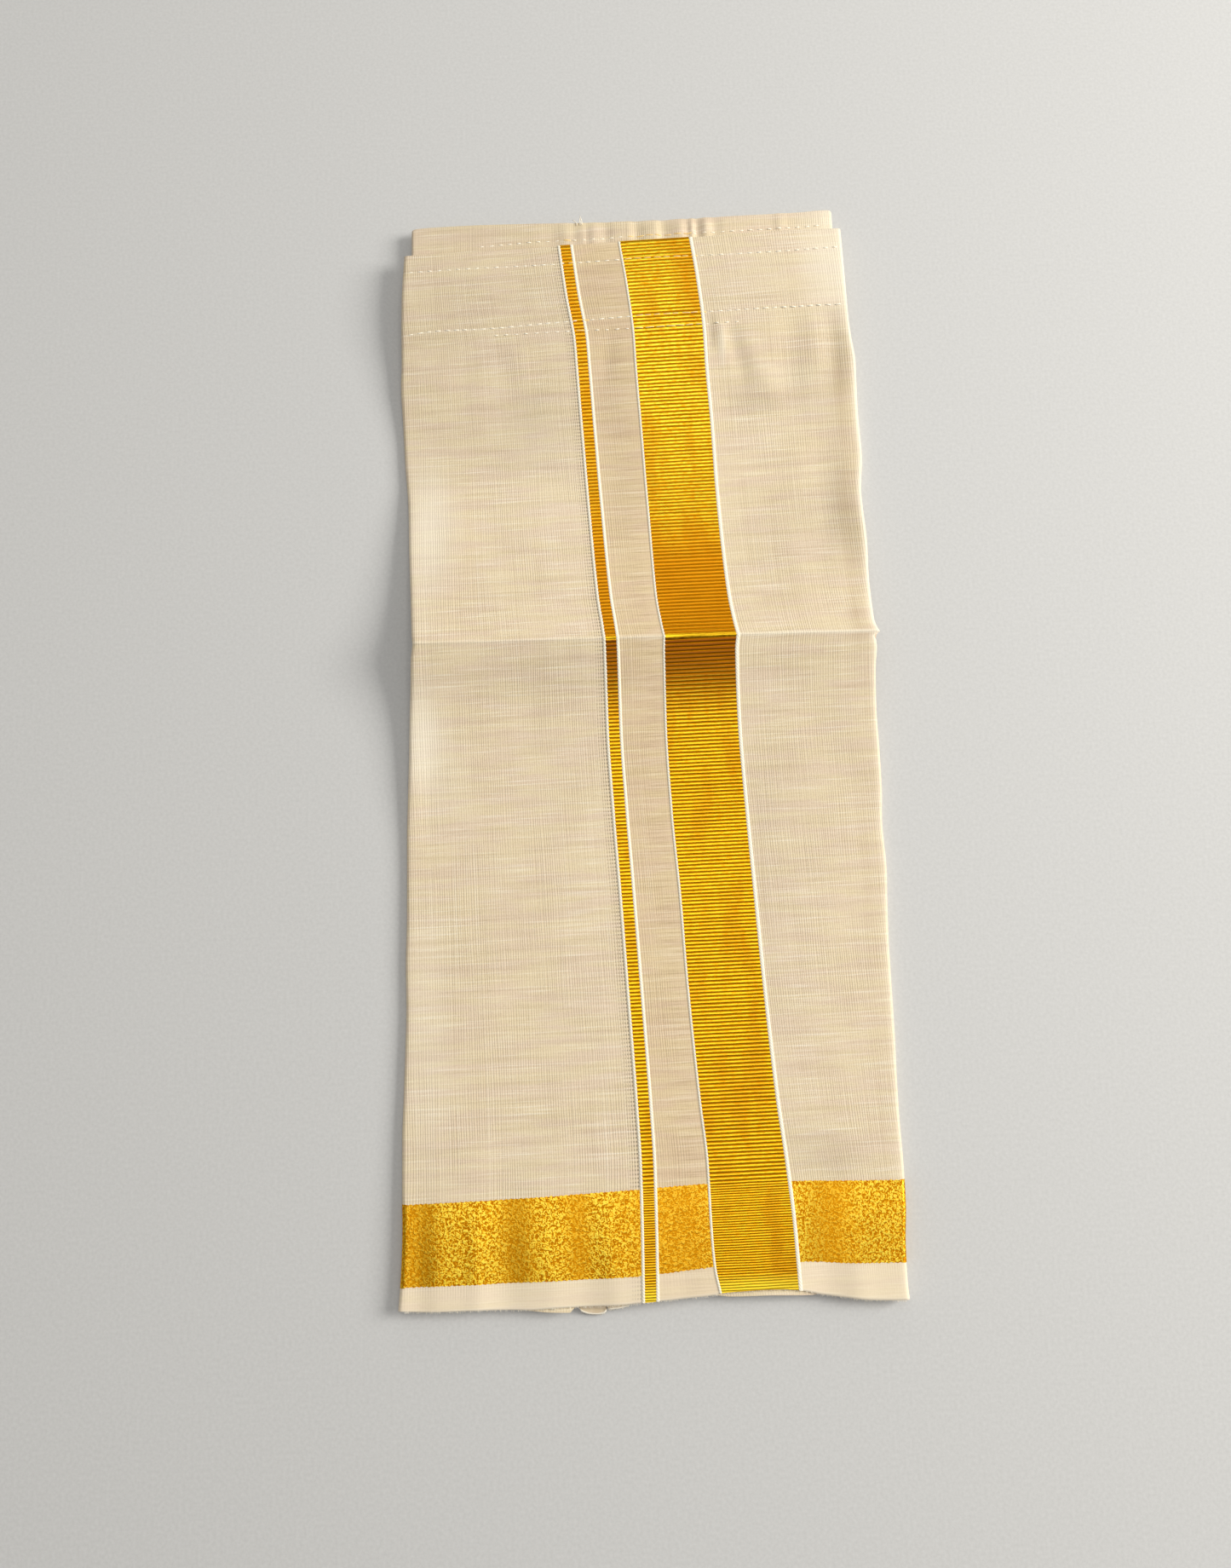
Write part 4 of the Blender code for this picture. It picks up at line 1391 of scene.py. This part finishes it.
# Sewn rows
#   places, pitch, stitch length, height under them
STITCH_ROWS = (
    (STITCH_UPPER, 3.5, 1.7, on_front),
    (STITCH_SEAM, 3.4, 1.9, on_front),
    (STITCH_SECOND, 3.7, 1.4, on_front),
    (STITCH_BACK, 3.5, 1.6, on_back),
)
# Section of one stitch: share of its length, rise, whether it lies on top and sinks with the rest
STITCH_ARC = ((0.0, -0.16, 0), (0.15, 0.02, 1), (0.5, 0.08, 1), (0.85, 0.02, 1), (1.0, -0.16, 0))
THICKER_FROM = 46.0


def stitch_runs(table, pitch, length, height_at, rng):
    """Stitches along a sewn row, on cloth and on gold: they dip in at both ends, and nearly join on gold."""
    runs = ([], [])
    x = table[0][0] + 0.8
    while x < table[-1][0] - length:
        gold = over_gold(x, smooth(table, x))
        thicker = x > THICKER_FROM
        size = (pitch * 0.9 if gold else length) * rng.uniform(0.85, 1.15)
        lean = rng.uniform(-0.12, 0.12)
        sunk = 0.06 if gold else rng.uniform(0.0, 0.16) - (0.08 if thicker else 0.0)
        places = []
        for share, rise, on_top in STITCH_ARC:
            px = x + size * share
            py = smooth(table, px) + lean * (share - 0.5) * 2
            places.append((px, py, height_at(px, py) + rise - on_top * sunk))
        runs[gold].append(thread_run(places, rng.uniform(0.17, 0.25) + (0.05 if thicker else 0.0)))
        x += pitch * rng.uniform(0.94, 1.06)
    return runs


def stitches(thread, gilt_thread):
    """All four sewn rows; thread that crosses the gold takes on its warm colour."""
    rng = random.Random(11)
    rows = [stitch_runs(*row, rng) for row in STITCH_ROWS]
    return [
        tubes_object("stitch_rows", [run for plain, _ in rows for run in plain], thread),
        tubes_object("stitch_rows_gold", [run for _, gilt in rows for run in gilt], gilt_thread),
    ]


# Thread ends at the back waist: start, then bends from it
#   (x, y), ((dx, dy), ...)
THREAD_ENDS = (
    ((-16.0, 194.4), ((0.0, 0.9), (-0.25, 2.0), (-0.7, 3.5))),
    ((-16.6, 194.4), ((-0.1, 0.8), (-0.1, 1.9), (0.3, 2.9))),
    ((-17.9, 194.4), ((-0.4, 0.7), (-1.0, 1.3), (-1.5, 1.5))),
)


def fibre(start, reach, sway, thick, drop, rng):
    """A short fibre from an edge outwards."""
    x, y, z = start
    places = [(x, y + 0.35, z), (x + 0.35 * sway, y - 0.5 * reach, z + 0.03), (x + sway, y - reach, z - drop)]
    return thread_run(places, thick * rng.uniform(0.8, 1.3), 4)


def thread_end(start, bends):
    x, y = start
    z = straight(back_limb(x), y - 1.5)
    places = [(x, y - 0.9, z + 0.2), (x, y, z + 0.15)]
    return thread_run(places + [(x + dx, y + dy, z + 0.1 - 0.12 * dy) for dx, dy in bends], 0.19)


def flap_fray(edge_table, lift, rng):
    """Rolled rim of a flap and the fibres along it."""
    first, last = edge_table[0][0], edge_table[-1][0]
    rim = []
    for step in range(15):
        x = mix(first, last, step / 14)
        y = straight(edge_table, x) + 0.05 + 0.12 * rough(x * 1.3, lift, 8.0)
        rim.append((x, y, top(x, HEM) - 2 * STEP + lift + 0.3))
    runs = [thread_run(rim, 0.32)]
    for _ in range(70):
        x = rng.uniform(first + 0.2, last - 0.1)
        start = (x, straight(edge_table, x), top(x, HEM) - 2 * STEP + lift - 0.15)
        runs.append(fibre(start, rng.uniform(0.2, 0.8), rng.uniform(-0.6, 0.6), 0.07, 0.2, rng))
    return runs


def loose_threads(thread):
    """Sewing ends at the back waist, fibres along the raw hem, and the frayed corners' edges."""
    rng = random.Random(5)
    runs = [thread_end(start, bends) for start, bends in THREAD_ENDS]
    for _ in range(420):
        x = rng.uniform(-84.0, 80.5)
        start = (x, row_y(x, HEM), top(x, HEM) - CLOTH * rng.uniform(0.0, 0.9))
        reach, sway = rng.uniform(0.2, 0.75), rng.uniform(-0.3, 0.3)
        runs.append(fibre(start, reach, sway, 0.055, rng.uniform(0.0, 0.25), rng))
    for _, edge_table, lift in FLAPS:
        runs += flap_fray(edge_table, lift, rng)
    return tubes_object("loose_threads", runs, thread)


# Stage

FLOOR_HALF = 6.0
SENSOR = 36.0
ROOM_LIGHT = (1.0, 0.98, 0.95, 1.0)
# A low window on the right, a soft light overhead and a fainter one beyond the waist
#   name, place, aim, size, power, colour
LIGHTS = (
    ("window_right", (1.55, 0.26, 0.86), (0.0, 0.0, 0.0), (0.8, 0.8), 36.0, (1.0, 0.975, 0.93)),
    ("overhead", (0.05, 0.30, 1.3), (0.05, 0.30, 0.0), (0.8, 1.54), 5.6, (1.0, 0.99, 0.97)),
    ("far_side", (0.1, 2.0, 0.55), (0.0, 0.0, 0.0), (1.6, 0.5), 3.0, (1.0, 0.97, 0.92)),
)


def floor():
    mesh = bpy.data.meshes.new("floor")
    corners = [(x * FLOOR_HALF, y * FLOOR_HALF, 0.0) for x, y in ((-1, -1), (1, -1), (1, 1), (-1, 1))]
    mesh.from_pydata(corners, [], [(0, 1, 2, 3)])
    mesh.materials.append(floor_material())
    linked("floor", mesh)


def area_light(name, place, aim, size, power, colour):
    data = bpy.data.lights.new(name, "AREA")
    data.shape = "RECTANGLE"
    data.size, data.size_y = size
    data.energy = power
    data.color = colour
    made = linked(name, data)
    made.location = place
    made.rotation_euler = (Vector(aim) - Vector(place)).to_track_quat("-Z", "Y").to_euler()


def lights():
    for row in LIGHTS:
        area_light(*row)
    world = bpy.data.worlds.new("soft_room")
    world.use_nodes = True
    background = world.node_tree.nodes["Background"].inputs
    background["Color"].default_value = ROOM_LIGHT
    background["Strength"].default_value = 0.30
    bpy.context.scene.world = world


def camera():
    """Camera at the photo's angle: tilted a little and turned a little, almost straight above."""
    data = bpy.data.cameras.new("camera")
    data.sensor_fit = "AUTO"
    data.sensor_width = SENSOR
    data.lens = SENSOR * FOCAL_PX / IMAGE_HEIGHT
    data.clip_start = 0.01
    made = linked("camera", data)
    tilt, turn = radians(CAMERA_TILT), radians(CAMERA_TURN)
    right = Vector((cos(turn), -sin(turn), 0.0))
    forward = Vector((sin(turn) * sin(tilt), cos(turn) * sin(tilt), -cos(tilt)))
    turned = Matrix((right, right.cross(forward), -forward)).transposed().to_4x4()
    made.matrix_world = Matrix.Translation(Vector(CAMERA_PLACE) * MM) @ turned
    bpy.context.scene.camera = made


def main():
    camera()
    lights()
    floor()
    cotton = cotton_material("cream_cotton")
    inner_cotton = cotton_material("cream_cotton_inner", plain=True, painted_light=False)
    back_cotton = cotton_material("cream_cotton_back", plain=True)
    gold = gold_material("gold_ribs", 0.0)
    dull_gold = gold_material("gold_ribs_narrow", 0.6)
    speckled = speckled_material("gold_flecks")
    cord = cord_material("cream_cord")
    thread = thread_material("white_thread", (0.86, 0.78, 0.62), (0.97, 0.92, 0.80))
    gilt_thread = thread_material("gilt_thread", (0.86, 0.56, 0.16), (0.96, 0.76, 0.36))
    front = front_sheet(cotton)
    casing_sheet(inner_cotton)
    hidden_layers(inner_cotton)
    back = back_sheet(back_cotton)
    hem_corner(inner_cotton)
    woven = [
        gold_band("gold_wide", 16, wide_edges, gold, "border_wide"),
        gold_band("gold_narrow", 4, narrow_edges, dull_gold, "border_narrow"),
    ]
    woven += [cord_strip(*row, cord) for row in CORDS]
    woven += [end_band(*row, speckled) for row in STRETCHES]
    woven += stitches(thread, gilt_thread)
    loose_threads(thread)


bpy.context.scene.view_settings.view_transform = "Standard"
main()
